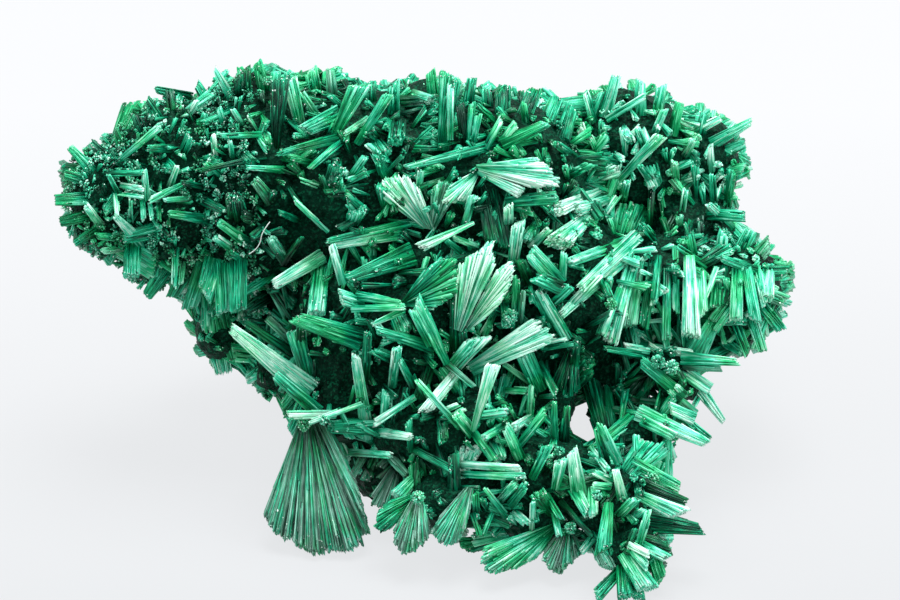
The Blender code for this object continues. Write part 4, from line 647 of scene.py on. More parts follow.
# Upper right lobe
# A ball of radiating sheaves at the far upper right, paler where the light strikes their ends.
# Its edge is a ragged comb against the background.
LOBE_TOP = [
    ((7.8, 24.2), (8.4, 26.4), 0.7, 0.5, 0.3, 0.2, "p"),
    ((7.3, 23.9), (6.8, 25.6), 0.6, 0.35, 0.2, 0.1, "p"),
    ((7.2, 24.1), (7.7, 25.6), 0.4, 0.3, 0.4, 0.3, "g"),
    ((7.9, 24.1), (10.0, 25.4), 0.4, 0.35, 0.8, 0.5, "p"),
    ((6.9, 22.6), (6.5, 23.9), 0.55, 0.5, 0.6, 0.3, "p"),
    ((7.6, 22.1), (7.0, 23.3), 0.35, 0.3, 0.6, 0.5, "p"),
    ((8.1, 20.6), (10.7, 23.4), 0.35, 0.7, 1.4, 0.8, "p"),
    ((10.3, 23.4), (10.85, 24.7), 0.45, 0.4, 0.7, 0.3, "p"),
    ((12.2, 23.4), (13.7, 24.2), 0.5, 0.4, 0.5, 0.2, "p"),
    ((13.2, 22.9), (15.35, 24.1), 0.7, 0.4, 0.6, 0.2, "p"),
    ((13.2, 21.5), (13.1, 22.9), 0.4, 0.3, 0.7, 0.4, "p"),
    ((11.4, 20.8), (11.3, 22.0), 0.45, 0.4, 0.7, 0.4, "p"),
    ((11.7, 19.5), (11.85, 20.6), 0.35, 0.3, 0.6, 0.8, "w"),
    ((14.0, 19.8), (14.25, 21.6), 0.6, 0.5, 0.6, 0.2, "g"),
    ((13.3, 19.9), (13.2, 21.4), 0.4, 0.35, 0.6, 0.4, "g"),
    ((14.3, 18.6), (12.9, 19.9), 0.5, 0.35, 0.8, 0.6, "p"),
    ((8.6, 19.7), (8.9, 21.0), 0.5, 0.4, 0.8, 0.4, "g"),
    ((9.6, 24.3), (9.6, 26.2), 0.7, 0.5, 0.2, 0.1, "p"),
    ((10.4, 24.1), (10.7, 26.0), 0.6, 0.5, 0.0, 0.1, "p"),
    ((11.2, 23.3), (11.6, 25.0), 0.6, 0.5, 0.2, 0.1, "g"),
    ((12.6, 23.2), (12.9, 24.5), 0.6, 0.5, 0.2, 0.0, "g"),
    ((13.6, 22.4), (15.0, 23.0), 0.7, 0.6, 0.2, 0.0, "g"),
    ((13.7, 21.5), (15.05, 21.7), 0.7, 0.6, 0.2, 0.0, "p"),
    ((13.2, 20.4), (14.7, 20.3), 0.7, 0.6, 0.4, 0.0, "g"),
    ((13.0, 19.3), (14.9, 19.2), 0.7, 0.6, 0.6, 0.2, "g"),
    ((9.9, 22.4), (9.4, 23.6), 0.5, 0.4, 0.8, 0.3, "g"),
    ((11.8, 22.2), (12.3, 23.1), 0.5, 0.4, 0.7, 0.3, "p"),
    ((10.2, 20.9), (9.5, 21.8), 0.4, 0.3, 0.8, 0.3, "g"),
]
rng = np.random.default_rng(26)
grow("upper_lobe_sheaves", show_sheaves(LOBE_TOP, rng), rng)


# Middle of the show side
# The sharpest and brightest sheaves, lying across each other at every angle.
# They are fastened by their narrow roots in the gaps between the lumps.
CENTRE = [
    ((-9.0, 20.0), (-9.75, 21.0), 0.7, 0.5, 0.5, 0.2, "y"),
    ((-6.1, 18.4), (-7.9, 20.1), 0.28, 0.25, 0.6, 1.0, "w"),
    ((-6.6, 20.7), (-7.6, 21.05), 0.25, 0.22, 0.4, 0.6, "p"),
    ((-6.0, 20.2), (-6.5, 21.3), 0.3, 0.25, 0.4, 0.5, "d"),
    ((-10.6, 19.2), (-10.8, 20.2), 1.2, 1.0, 0.6, 0.0, "d"),
    ((-9.9, 17.7), (-11.6, 18.9), 0.6, 0.45, 0.7, 0.2, "g"),
    ((-10.5, 17.3), (-11.8, 18.2), 0.5, 0.4, 0.6, 0.1, "g"),
    ((-8.3, 17.0), (-9.0, 18.1), 0.7, 0.5, 0.6, 0.2, "y"),
    ((-8.4, 16.8), (-7.4, 18.2), 0.4, 0.3, 0.7, 0.5, "d"),
    ((-6.4, 17.2), (-8.85, 15.75), 0.85, 0.55, 1.3, 0.7, "w"),
    ((-1.9, 18.9), (-6.3, 17.9), 0.5, 0.3, 0.9, 0.9, "g"),
    ((-2.3, 18.4), (-6.0, 17.7), 0.8, 0.4, 1.0, 0.6, "p"),
    ((-5.35, 15.8), (-5.95, 17.85), 0.45, 0.35, 0.8, 1.6, "w"),
    ((-1.6, 20.2), (-1.45, 21.5), 0.35, 0.3, 0.5, 0.5, "p"),
    ((0.6, 18.6), (1.05, 20.3), 0.3, 0.25, 0.5, 0.7, "p"),
    ((1.2, 18.85), (-1.65, 17.55), 0.2, 0.55, 0.9, 1.1, "w"),
    ((1.4, 17.65), (0.05, 18.15), 0.35, 0.3, 0.4, 1.1, "p"),
    ((0.8, 17.15), (-0.2, 18.0), 0.4, 0.3, 0.4, 0.9, "g"),
    ((-1.9, 17.3), (-5.35, 15.95), 1.4, 0.4, 0.9, 0.6, "m"),
    ((1.5, 21.0), (2.2, 17.6), 0.6, 0.8, 0.3, -0.1, "d"),
    ((2.2, 20.6), (2.9, 17.4), 0.6, 0.8, 0.3, -0.1, "d"),
    ((1.4, 21.4), (3.65, 20.3), 0.25, 0.65, 0.9, 0.9, "w"),
    ((2.8, 19.9), (5.45, 20.15), 0.7, 0.75, 0.8, 0.7, "g"),
    ((2.9, 18.9), (2.9, 19.8), 0.55, 0.5, 0.6, 0.9, "w"),
    ((3.15, 16.9), (3.45, 19.1), 0.6, 0.75, 0.7, 1.0, "p"),
    ((7.7, 20.6), (5.25, 19.45), 0.3, 0.85, 1.1, 0.9, "w"),
    ((8.3, 20.2), (6.3, 19.5), 0.4, 0.7, 0.8, 0.5, "p"),
    ((4.0, 17.6), (5.0, 18.6), 0.4, 0.35, 0.6, 0.8, "p"),
    ((7.3, 19.5), (5.15, 17.5), 0.55, 1.5, 1.2, 1.1, "p"),
    ((7.7, 18.9), (7.3, 20.1), 0.5, 0.4, 0.4, 0.3, "d"),
    ((9.4, 18.1), (5.8, 16.8), 0.7, 0.4, 1.4, 0.5, "g"),
    ((9.0, 17.4), (5.5, 14.2), 0.9, 0.35, 0.8, 0.7, "p"),
    ((9.35, 18.15), (6.45, 15.5), 0.9, 0.5, 1.2, 1.3, "p"),
    ((5.6, 16.0), (5.7, 17.5), 0.4, 0.35, 0.6, 0.8, "p"),
    ((5.45, 15.8), (3.95, 17.5), 1.05, 0.85, 0.8, 1.3, "p"),
    ((5.5, 15.6), (4.1, 16.25), 0.8, 0.75, 0.6, 1.9, "g"),
    ((4.0, 15.9), (3.45, 17.1), 0.6, 0.5, 0.5, 0.4, "d"),
    ((-6.4, 16.8), (-6.7, 14.2), 0.9, 0.95, 1.2, 0.7, "g"),
    ((-4.5, 13.05), (-8.0, 14.2), 1.3, 0.65, 1.3, 0.9, "g"),
    ((-7.45, 12.0), (-7.5, 13.8), 0.6, 0.4, 0.9, 0.6, "d"),
    ((-8.9, 16.3), (-10.9, 15.05), 0.6, 0.3, 0.5, 0.3, "g"),
    ((-9.2, 15.2), (-10.4, 14.4), 0.8, 0.5, 0.4, 0.0, "d"),
    ((-7.9, 12.3), (-10.4, 13.95), 0.6, 0.35, 0.7, 0.5, "m"),
    ((-8.0, 13.0), (-9.2, 14.1), 0.5, 0.4, 0.5, 0.4, "y"),
    ((-4.4, 14.8), (-5.7, 15.25), 0.8, 0.75, 0.7, 0.6, "p"),
    ((-4.9, 14.55), (-2.2, 14.65), 0.35, 0.35, 0.5, 1.4, "w"),
    ((-4.6, 15.2), (-2.3, 14.85), 0.6, 0.3, 0.5, 1.0, "g"),
    ((-2.3, 14.5), (-3.95, 13.75), 0.4, 0.2, 0.5, 1.0, "p"),
    ((-0.8, 12.6), (-3.85, 13.55), 0.7, 0.4, 0.8, 0.9, "m"),
    ((-0.15, 11.8), (-1.85, 15.3), 0.45, 0.85, 0.7, 1.8, "g"),
    ((-1.0, 12.7), (-2.0, 14.6), 0.35, 0.3, 0.5, 1.4, "g"),
    ((-4.25, 10.9), (-4.1, 13.45), 0.5, 0.45, 0.6, 0.8, "m"),
    ((-4.1, 8.1), (-4.75, 12.45), 0.8, 0.4, 1.0, 1.3, "w"),
    ((-2.9, 10.7), (-2.65, 12.7), 0.45, 0.5, 0.8, 0.8, "p"),
    ((-1.85, 10.7), (-2.5, 12.0), 0.45, 0.35, 0.6, 0.7, "g"),
    ((-2.7, 12.0), (-3.95, 12.55), 0.7, 0.5, 0.5, 0.5, "m"),
    ((0.4, 8.75), (-1.75, 11.1), 0.35, 0.28, 0.7, 0.9, "p"),
    ((0.35, 11.4), (-1.4, 9.25), 0.55, 0.65, 1.2, 1.2, "w"),
    ((0.2, 12.3), (0.15, 15.1), 0.5, 0.35, 0.6, 0.5, "m"),
    ((0.7, 12.4), (0.6, 13.6), 0.45, 0.4, 0.5, 0.6, "d"),
    ((0.3, 11.8), (1.75, 13.5), 0.85, 1.1, 0.8, 1.3, "p"),
    ((2.7, 12.4), (0.85, 11.5), 0.9, 0.3, 0.8, 1.7, "w"),
    ((-0.1, 11.8), (1.3, 10.6), 0.35, 0.25, 0.6, 1.2, "y"),
    ((1.15, 8.5), (2.15, 11.85), 0.3, 0.8, 0.9, 1.2, "w"),
    ((4.2, 10.75), (2.6, 11.85), 0.3, 0.25, 0.6, 0.9, "p"),
    ((3.2, 13.5), (3.3, 16.3), 0.45, 0.35, 0.6, 0.7, "g"),
    ((3.5, 13.8), (3.65, 15.5), 0.28, 0.22, 0.4, 0.8, "y"),
    ((2.9, 14.9), (2.9, 13.7), 0.9, 0.7, 0.9, 0.2, "m"),
    ((5.2, 13.4), (4.1, 15.5), 0.4, 0.3, 0.6, 0.7, "m"),
    ((5.85, 13.05), (4.4, 15.6), 0.65, 0.45, 0.7, 1.2, "p"),
    ((5.45, 14.2), (7.6, 16.4), 0.45, 0.5, 0.7, 0.8, "p"),
    ((5.2, 14.9), (6.1, 15.7), 0.45, 0.4, 0.4, 1.1, "g"),
    ((7.6, 16.0), (8.05, 15.1), 0.5, 0.35, 0.5, 0.3, "m"),
    ((6.7, 13.6), (8.05, 14.4), 0.5, 0.35, 0.6, 0.3, "d"),
    ((6.1, 10.3), (6.35, 13.0), 0.5, 0.4, 0.8, 0.5, "d"),
    ((4.4, 12.8), (5.85, 13.1), 0.25, 0.25, 0.3, 1.2, "p"),
    ((4.6, 12.6), (6.3, 12.85), 0.3, 0.25, 0.4, 0.8, "g"),
    ((4.5, 10.5), (3.6, 12.55), 0.85, 0.95, 0.8, 1.0, "g"),
    ((4.5, 11.9), (5.4, 10.15), 0.35, 0.45, 0.9, 0.9, "m"),
    ((2.8, 10.5), (3.98, 10.45), 0.4, 0.38, 0.5, 1.2, "p"),
    ((4.0, 9.2), (4.1, 10.8), 0.4, 0.35, 0.5, 0.8, "g"),
    ((-10.1, 16.8), (-11.1, 17.4), 0.5, 0.4, 0.5, 0.2, "m"),
    ((-4.2, 19.4), (-5.3, 20.4), 0.5, 0.4, 0.7, 0.3, "m"),
    ((-7.6, 19.0), (-8.6, 19.4), 0.4, 0.3, 0.4, 0.2, "d"),
    ((-4.9, 21.2), (-4.2, 22.2), 0.5, 0.4, 0.7, 0.4, "g"),
    ((6.0, 21.3), (7.2, 21.9), 0.5, 0.4, 0.8, 0.3, "g"),
    ((6.2, 22.2), (5.2, 22.9), 0.5, 0.4, 0.7, 0.3, "m"),
]
rng = np.random.default_rng(28)
grow("middle_sheaves", show_sheaves(CENTRE, rng), rng)


# Right lobe
# Blunt pillars hang side by side down the right lobe, pale on their faces.
# Behind them short ones radiate to the right edge.
LOBE_RIGHT = [
    ((9.2, 17.2), (8.0, 12.75), 0.75, 0.85, 1.3, 1.1, "p"),
    ((8.5, 15.6), (7.6, 13.1), 0.3, 0.28, 0.9, 1.0, "p"),
    ((9.5, 17.0), (9.0, 13.5), 0.6, 0.8, 1.0, 0.5, "y"),
    ((10.2, 17.0), (9.7, 13.4), 0.5, 0.5, 0.6, 0.3, "m"),
    ((10.5, 17.2), (10.2, 14.7), 0.4, 0.4, 0.8, 0.6, "g"),
    ((10.9, 16.6), (10.85, 12.9), 0.4, 0.4, 0.6, 0.3, "m"),
    ((11.3, 17.7), (11.35, 14.15), 0.4, 0.42, 1.0, 0.7, "p"),
    ((12.0, 17.2), (12.1, 13.0), 0.6, 1.1, 1.3, 1.0, "w"),
    ((12.6, 16.4), (12.7, 14.0), 0.5, 0.6, 1.0, 0.9, "p"),
    ((13.4, 16.6), (12.75, 14.9), 0.3, 0.25, 0.5, 0.9, "p"),
    ((13.6, 16.6), (13.4, 14.4), 1.1, 1.1, 0.4, 0.2, "m"),
    ((14.1, 15.3), (13.1, 13.9), 0.5, 0.4, 0.6, 0.5, "y"),
    ((14.3, 14.8), (13.3, 13.4), 0.4, 0.35, 0.4, 0.7, "p"),
    ((14.45, 16.6), (14.35, 13.95), 0.6, 0.7, 0.9, 0.7, "p"),
    ((14.9, 16.6), (15.4, 13.7), 0.6, 0.65, 0.9, 0.7, "p"),
    ((15.4, 16.7), (15.9, 14.6), 0.5, 0.5, 0.8, 0.7, "p"),
    ((16.0, 16.7), (16.0, 15.1), 0.7, 0.6, 0.6, 0.6, "w"),
    ((12.9, 16.7), (11.3, 17.75), 0.3, 0.25, 0.6, 0.6, "g"),
    ((15.4, 16.5), (13.5, 17.15), 0.55, 0.45, 0.7, 0.7, "g"),
    ((15.3, 16.9), (16.3, 18.1), 0.9, 0.8, 0.0, -0.2, "y"),
    ((15.4, 16.3), (17.3, 16.4), 0.9, 0.8, 0.2, 0.0, "g"),
    ((15.5, 15.5), (17.05, 14.9), 0.8, 0.7, 0.2, 0.1, "y"),
    ((15.4, 15.0), (16.75, 13.4), 0.8, 0.6, 0.2, 0.1, "g"),
    ((15.0, 14.7), (15.75, 12.35), 0.8, 0.55, 0.4, 0.1, "g"),
    ((16.2, 14.8), (15.25, 12.45), 0.35, 0.3, 0.5, 0.8, "p"),
    ((14.2, 14.3), (15.05, 12.1), 0.5, 0.45, 0.6, 0.3, "g"),
    ((12.6, 13.8), (14.75, 12.3), 0.8, 0.5, 0.5, 0.2, "m"),
    ((13.6, 17.2), (13.8, 18.6), 0.7, 0.5, 0.3, 0.2, "p"),
    ((12.2, 17.3), (12.0, 18.5), 0.6, 0.5, 0.2, 0.1, "g"),
    ((14.5, 17.3), (15.1, 18.6), 0.7, 0.6, 0.0, 0.0, "g"),
    ((10.3, 18.0), (9.6, 18.9), 0.5, 0.4, 0.6, 0.2, "m"),
]
rng = np.random.default_rng(30)
grow("right_lobe_sheaves", show_sheaves(LOBE_RIGHT, rng), rng)


# Spurs at the right
# Two bundles of spurs point right and down below the right lobe.
# The long pale logs cross them.
SPUR = [
    ((10.0, 12.6), (12.5, 12.25), 0.45, 0.45, 0.4, 0.5, "p"),
    ((11.6, 12.1), (14.6, 11.88), 0.75, 0.35, 0.6, 0.3, "p"),
    ((11.7, 11.7), (13.7, 11.55), 0.45, 0.3, 0.5, 0.1, "y"),
    ((13.1, 10.6), (9.9, 12.8), 0.5, 0.35, 0.3, 1.4, "w"),
    ((10.0, 12.45), (8.6, 12.7), 0.4, 0.35, 0.3, 0.9, "w"),
    ((9.9, 12.2), (7.6, 12.6), 0.45, 0.3, 0.3, 0.5, "m"),
    ((11.7, 10.15), (9.45, 12.0), 0.65, 0.55, 0.5, 1.3, "g"),
    ((11.6, 11.3), (13.05, 10.35), 0.4, 0.35, 0.3, 0.5, "p"),
    ((8.5, 10.5), (8.4, 11.9), 0.45, 0.35, 0.5, 0.3, "d"),
    ((12.1, 11.2), (13.8, 8.8), 0.85, 0.3, -0.2, 0.0, "p"),
    ((12.6, 10.4), (12.2, 9.6), 0.3, 0.25, 0.2, 0.4, "g"),
    ((9.4, 9.35), (13.0, 7.75), 1.1, 0.5, 1.0, 0.7, "p"),
    ((12.2, 9.05), (10.8, 9.7), 0.75, 0.6, 0.6, 1.9, "w"),
    ((11.3, 9.4), (13.1, 7.95), 0.5, 0.32, 0.4, 0.6, "m"),
    ((12.3, 9.4), (10.9, 10.5), 0.4, 0.35, 0.5, 1.4, "g"),
    ((11.8, 10.2), (11.3, 10.7), 0.35, 0.3, 0.3, 0.8, "p"),
    ((9.6, 9.0), (11.4, 8.1), 0.6, 0.5, 0.8, 0.6, "p"),
    ((9.8, 8.2), (11.0, 6.8), 1.0, 1.2, -1.6, -1.2, "m"),
]
rng = np.random.default_rng(32)
grow("spur_sheaves", show_sheaves(SPUR, rng), rng)


# Waist
# Crossed sheaves over the narrowest part, from the long striped log at the left to the pale
# pillars above the foot.
WAIST = [
    ((-5.7, 9.3), (-8.2, 9.25), 0.45, 0.5, 0.6, 0.8, "w"),
    ((-4.4, 9.85), (-7.1, 8.85), 0.35, 0.3, 0.6, 1.3, "p"),
    ((-7.0, 10.4), (-11.05, 13.65), 1.5, 0.5, 0.9, 0.8, "w"),
    ((-6.6, 9.4), (-8.8, 11.3), 0.8, 0.5, 0.6, 0.7, "g"),
    ((-5.0, 7.35), (-2.9, 7.25), 0.4, 0.38, 0.5, 0.9, "p"),
    ((-3.35, 8.9), (-3.2, 10.55), 0.42, 0.48, 0.6, 0.7, "g"),
    ((-1.75, 10.15), (-3.9, 8.75), 0.32, 0.38, 0.6, 1.2, "p"),
    ((-3.7, 8.4), (-1.85, 8.2), 0.6, 0.38, 0.6, 0.8, "w"),
    ((-1.95, 7.4), (-2.1, 9.15), 0.28, 0.4, 0.5, 0.9, "g"),
    ((-2.1, 7.7), (0.2, 6.5), 0.35, 0.5, 0.8, 0.7, "m"),
    ((-3.1, 7.3), (-2.1, 6.2), 0.5, 0.45, 0.7, 0.4, "y"),
    ((-4.2, 7.4), (-5.0, 6.0), 0.4, 0.35, 0.7, 0.2, "y"),
    ((-0.4, 9.4), (-0.3, 7.8), 0.6, 0.6, 0.8, 0.2, "d"),
    ((-0.5, 9.4), (0.5, 9.85), 0.3, 0.25, 0.5, 0.7, "p"),
    ((0.0, 9.2), (0.8, 9.6), 0.3, 0.25, 0.5, 0.8, "p"),
    ((1.1, 8.4), (0.35, 9.3), 0.8, 0.7, 0.7, 0.5, "g"),
    ((1.1, 8.5), (2.25, 6.9), 0.4, 0.4, 0.8, 0.6, "g"),
    ((1.2, 9.2), (2.98, 9.45), 0.5, 0.5, 0.6, 0.6, "g"),
    ((2.7, 8.7), (1.65, 8.1), 0.45, 0.4, 0.6, 0.6, "p"),
    ((0.3, 6.8), (3.7, 6.6), 0.4, 0.42, 0.8, 1.0, "w"),
    ((0.6, 6.3), (3.8, 6.2), 0.35, 0.42, 0.9, 0.8, "w"),
    ((5.2, 8.0), (5.2, 10.0), 0.45, 0.25, 0.8, 0.3, "g"),
    ((5.65, 7.8), (5.85, 9.75), 0.65, 0.35, 0.7, 0.0, "d"),
    ((7.3, 10.6), (7.8, 9.3), 0.35, 0.3, 0.4, 0.2, "m"),
    ((8.4, 6.9), (7.4, 9.0), 0.5, 0.35, 0.6, 1.0, "w"),
    ((7.8, 6.8), (7.25, 8.8), 0.55, 0.35, 0.6, 0.6, "g"),
    ((3.5, 7.1), (2.7, 8.85), 0.65, 0.5, 0.7, 0.8, "p"),
    ((4.1, 9.2), (3.15, 8.6), 0.35, 0.5, 0.5, 0.9, "p"),
    ((3.4, 7.7), (4.9, 9.65), 0.4, 0.5, 0.8, 0.9, "p"),
    ((4.1, 6.1), (4.95, 7.95), 0.45, 0.6, 0.9, 0.8, "g"),
    ((5.25, 5.6), (5.55, 7.25), 0.45, 0.75, 0.9, 0.8, "p"),
    ((6.45, 5.2), (6.05, 7.7), 0.95, 0.6, 1.0, 1.2, "w"),
    ((6.2, 5.6), (6.95, 4.25), 0.75, 0.55, 0.8, 1.1, "w"),
    ((7.1, 5.6), (7.15, 4.15), 0.6, 0.45, 0.7, 0.9, "p"),
    ((7.0, 7.6), (7.85, 6.55), 0.35, 0.38, 0.6, 0.5, "p"),
    ((8.1, 6.0), (7.05, 6.5), 0.38, 0.32, 0.5, 0.6, "p"),
    ((8.0, 5.7), (7.05, 5.8), 0.38, 0.32, 0.5, 0.8, "p"),
    ((8.6, 5.1), (8.2, 6.65), 0.55, 0.38, 0.6, 0.6, "w"),
]
rng = np.random.default_rng(34)
grow("waist_sheaves", show_sheaves(WAIST, rng), rng)


# Foot
# Short spurs and stepped boxy sheaves at the lower right, where the specimen reaches the floor.
# The lowest are cut off flat.
FOOT = [
    ((-1.4, 6.5), (-2.7, 5.1), 0.45, 0.9, 0.9, 0.6, "p"),
    ((9.0, 6.8), (11.55, 5.55), 1.1, 0.75, -0.3, 0.0, "g"),
    ((9.3, 5.9), (11.85, 4.9), 0.8, 0.45, -0.1, 0.0, "d"),
    ((9.3, 5.35), (11.85, 4.15), 0.5, 1.1, 0.5, 0.7, "w"),
    ((9.2, 4.1), (12.8, 3.55), 1.5, 0.55, 0.0, 0.0, "d"),
    ((9.4, 3.1), (11.2, 2.6), 0.9, 0.7, 0.3, 0.2, "d"),
    ((9.5, 2.8), (10.95, 2.1), 0.6, 0.5, 0.4, 0.6, "p"),
    ((10.0, 2.6), (10.6, 0.75), 0.7, 0.8, 0.4, 0.3, "g"),
    ((8.7, 2.4), (9.95, 0.5), 0.9, 1.2, 0.9, 0.6, "p"),
    ((8.9, 2.9), (10.0, 2.3), 0.4, 0.35, 0.5, 1.1, "w"),
    ((9.1, 2.6), (9.95, 1.6), 0.55, 0.5, 0.6, 0.9, "p"),
    ((7.9, 4.9), (7.6, 2.2), 0.5, 0.95, 1.0, 0.9, "g"),
    ((9.3, 2.6), (9.9, 4.7), 0.4, 0.42, 0.7, 0.8, "g"),
    ((8.7, 2.3), (9.2, 3.7), 0.35, 0.28, 0.6, 0.6, "d"),
    ((5.5, 5.0), (7.1, 3.2), 0.35, 0.28, 0.8, 0.5, "d"),
    ((4.8, 5.3), (5.6, 4.0), 0.35, 0.28, 0.7, 0.6, "m"),
    ((5.2, 4.3), (5.45, 3.15), 0.4, 0.38, 0.6, 0.9, "g"),
    ((7.3, 3.4), (6.5, 2.4), 0.5, 0.4, 0.5, 0.2, "p"),
    ((7.2, 3.0), (8.1, 1.3), 0.8, 0.95, 0.8, 0.4, "y"),
    ((8.5, 1.6), (7.15, 0.15), 0.6, 0.75, 1.2, 0.4, "g"),
    ((8.6, 1.7), (8.7, 0.2), 0.8, 0.9, 1.2, 0.6, "m"),
    ((9.2, 1.3), (9.4, 0.1), 0.7, 0.7, 1.0, 0.6, "g"),
    ((1.1, 4.4), (1.5, 3.2), 0.3, 0.25, 0.5, 0.9, "g"),
    ((2.1, 4.4), (1.6, 3.2), 0.25, 0.22, 0.5, 0.9, "g"),
    ((1.3, 4.3), (1.25, 5.5), 0.38, 0.32, 0.5, 0.6, "m"),
    ((2.9, 4.1), (1.65, 5.7), 0.35, 0.28, 0.6, 0.8, "p"),
    ((2.5, 5.0), (3.25, 5.85), 0.4, 0.45, 0.6, 0.7, "p"),
    ((3.0, 4.8), (3.75, 5.8), 0.5, 0.5, 0.6, 0.6, "g"),
    ((2.6, 3.9), (2.1, 3.2), 0.5, 0.45, 0.5, 0.4, "m"),
    ((4.1, 3.5), (4.1, 5.0), 0.28, 0.22, 0.5, 0.9, "p"),
    ((3.2, 4.4), (3.9, 3.8), 0.5, 0.45, 0.6, 0.4, "p"),
    ((8.4, 4.3), (9.3, 5.2), 0.6, 0.5, 0.6, 0.4, "g"),
    ((8.9, 4.0), (9.7, 4.6), 0.5, 0.4, 0.6, 0.3, "g"),
]
rng = np.random.default_rng(36)
grow("foot_sheaves", show_sheaves(FOOT, rng), rng)


# Curtains behind the waist
# Hanging slabs seen below the long striped log, in shadow.
# They are the far ends of sheaves on the hidden side.
BACK_FANS = [
    ((-8.0, 12.0), (-9.9, 11.6), 1.2, 0.8, -1.0, -1.6, "m"),
    ((-7.8, 11.4), (-9.9, 10.4), 1.4, 0.9, -1.2, -1.6, "m"),
    ((-7.3, 10.8), (-8.6, 9.2), 1.2, 0.7, -0.6, -0.8, "g"),
    ((-7.1, 10.4), (-8.1, 8.2), 1.0, 0.5, -0.2, -0.4, "g"),
]
rng = np.random.default_rng(38)
grow("curtain_sheaves", show_sheaves(BACK_FANS, rng), rng)


# Fans
# Flat sprays of needles from a short root line to a ragged scalloped rim: the dull skirt at the lower
# left, the bright double fan in the middle and the small ones that hang along the lower edge.
FANS = {
    "skirt": (
        ((-7.65, 8.7), (-6.05, 8.9)),
        [(-9.35, 4.1), (-8.9, 3.3), (-8.3, 2.75), (-7.75, 2.6), (-7.3, 2.3),
         (-6.8, 2.1), (-6.2, 2.15), (-5.6, 2.3), (-5.0, 2.2), (-4.4, 2.5), (-3.95, 3.2), (-4.5, 5.2),
         (-5.2, 6.9)],
        2.3, 0.4, 1.0, "s"),
    "hero_left": (
        ((0.2, 13.55), (0.6, 13.4)),
        [(0.4, 16.4), (0.55, 17.0), (1.0, 17.3), (1.55, 17.6), (2.1, 18.15), (2.3, 16.9)],
        1.3, 1.3, 0.5, "w"),
    "hero_right": (
        ((0.65, 13.45), (1.0, 13.55)),
        [(2.5, 16.7), (3.25, 17.1), (3.2, 16.3), (2.85, 15.5), (2.5, 14.9), (1.7, 14.15)],
        1.5, 1.2, 0.5, "w"),
    "shadow_fan": (
        ((-2.4, 14.95), (-2.2, 14.7)),
        [(-1.2, 16.5), (-0.3, 17.2), (0.4, 17.1), (0.5, 16.2), (0.45, 15.4), (-0.9, 14.5)],
        0.8, 0.9, 0.5, "m"),
    "beam": (
        ((0.85, 11.8), (1.2, 11.2)),
        [(4.35, 14.2), (4.65, 13.95), (4.9, 13.65), (5.3, 13.3), (5.1, 12.95), (4.3, 12.6)],
        0.9, 1.9, 0.5, "p"),
    "white_left": (
        ((-1.35, 18.6), (-0.75, 18.5)),
        [(-3.65, 20.3), (-3.5, 21.0), (-2.9, 21.2), (-2.3, 21.3), (-1.55, 20.5)],
        1.0, 0.7, 0.5, "w"),
    "white_left_wing": (
        ((-1.0, 18.6), (-0.7, 18.6)),
        [(-0.9, 20.6), (-0.5, 21.0), (0.1, 20.9), (0.3, 20.2)],
        0.9, 0.5, 0.5, "y"),
    "jagged": (
        ((1.5, 21.6), (1.45, 21.3)),
        [(-0.1, 20.6), (-0.5, 19.8), (0.2, 19.8), (0.9, 19.9)],
        0.8, 0.6, 0.4, "p"),
    "white_top": (
        ((1.3, 21.75), (1.45, 21.45)),
        [(4.4, 22.1), (5.0, 21.7), (5.4, 21.2), (5.65, 20.7), (4.2, 20.6)],
        1.2, 1.0, 0.45, "w"),
    "dusk": (
        ((6.0, 12.9), (6.4, 12.85)),
        [(4.95, 10.6), (5.5, 10.2), (6.1, 10.1), (6.5, 10.4)],
        0.2, 0.2, 0.4, "d"),
    "sweep": (
        ((7.0, 9.55), (6.85, 9.2)),
        [(9.4, 8.7), (9.9, 8.2), (9.7, 7.7), (9.0, 7.45)],
        0.8, 0.1, 0.5, "d"),
    "apron_left": (
        ((-1.95, 5.35), (-1.5, 5.1)),
        [(-3.0, 5.0), (-3.75, 4.3), (-3.85, 3.7), (-3.5, 3.4), (-3.0, 3.6)],
        0.9, 0.6, 0.5, "m"),
    "apron": (
        ((-1.85, 5.2), (-1.35, 5.1)),
        [(-2.8, 3.4), (-2.8, 2.8), (-2.45, 2.3), (-2.0, 2.25), (-1.6, 2.5), (-1.2, 2.9), (-0.95, 3.6)],
        1.2, 0.7, 0.6, "s"),
    "grey_wisps": (
        ((-2.9, 6.7), (-2.5, 6.4)),
        [(-3.9, 5.2), (-3.9, 4.7), (-3.3, 4.5), (-2.7, 4.9)],
        0.7, 0.5, 0.4, "s"),
    "bib": (
        ((0.8, 5.7), (1.2, 5.6)),
        [(-0.6, 4.0), (-0.95, 3.3), (-0.6, 2.85), (-0.1, 2.65), (0.3, 2.8), (0.6, 3.3), (0.9, 4.3)],
        1.1, 0.5, 0.5, "s"),
    "hem": (
        ((2.6, 3.2), (2.5, 2.9)),
        [(0.3, 3.1), (0.45, 2.65), (0.8, 2.4), (1.2, 2.4), (1.6, 2.5)],
        0.8, 0.2, 0.4, "m"),
    "keel": (
        ((5.2, 3.9), (5.2, 3.4)),
        [(1.6, 2.6), (1.35, 2.0), (1.65, 1.45), (2.1, 1.3), (2.8, 1.5), (3.5, 1.75), (4.2, 2.1),
         (4.6, 2.6)],
        1.5, 0.3, 0.7, "g"),
    "bell": (
        ((5.6, 3.6), (6.1, 3.5)),
        [(4.75, 2.6), (4.6, 2.0), (4.95, 1.45), (5.5, 1.3), (5.8, 1.6), (6.3, 2.1), (6.75, 2.5)],
        1.3, 0.4, 0.6, "s"),
}
RIB = 0.18


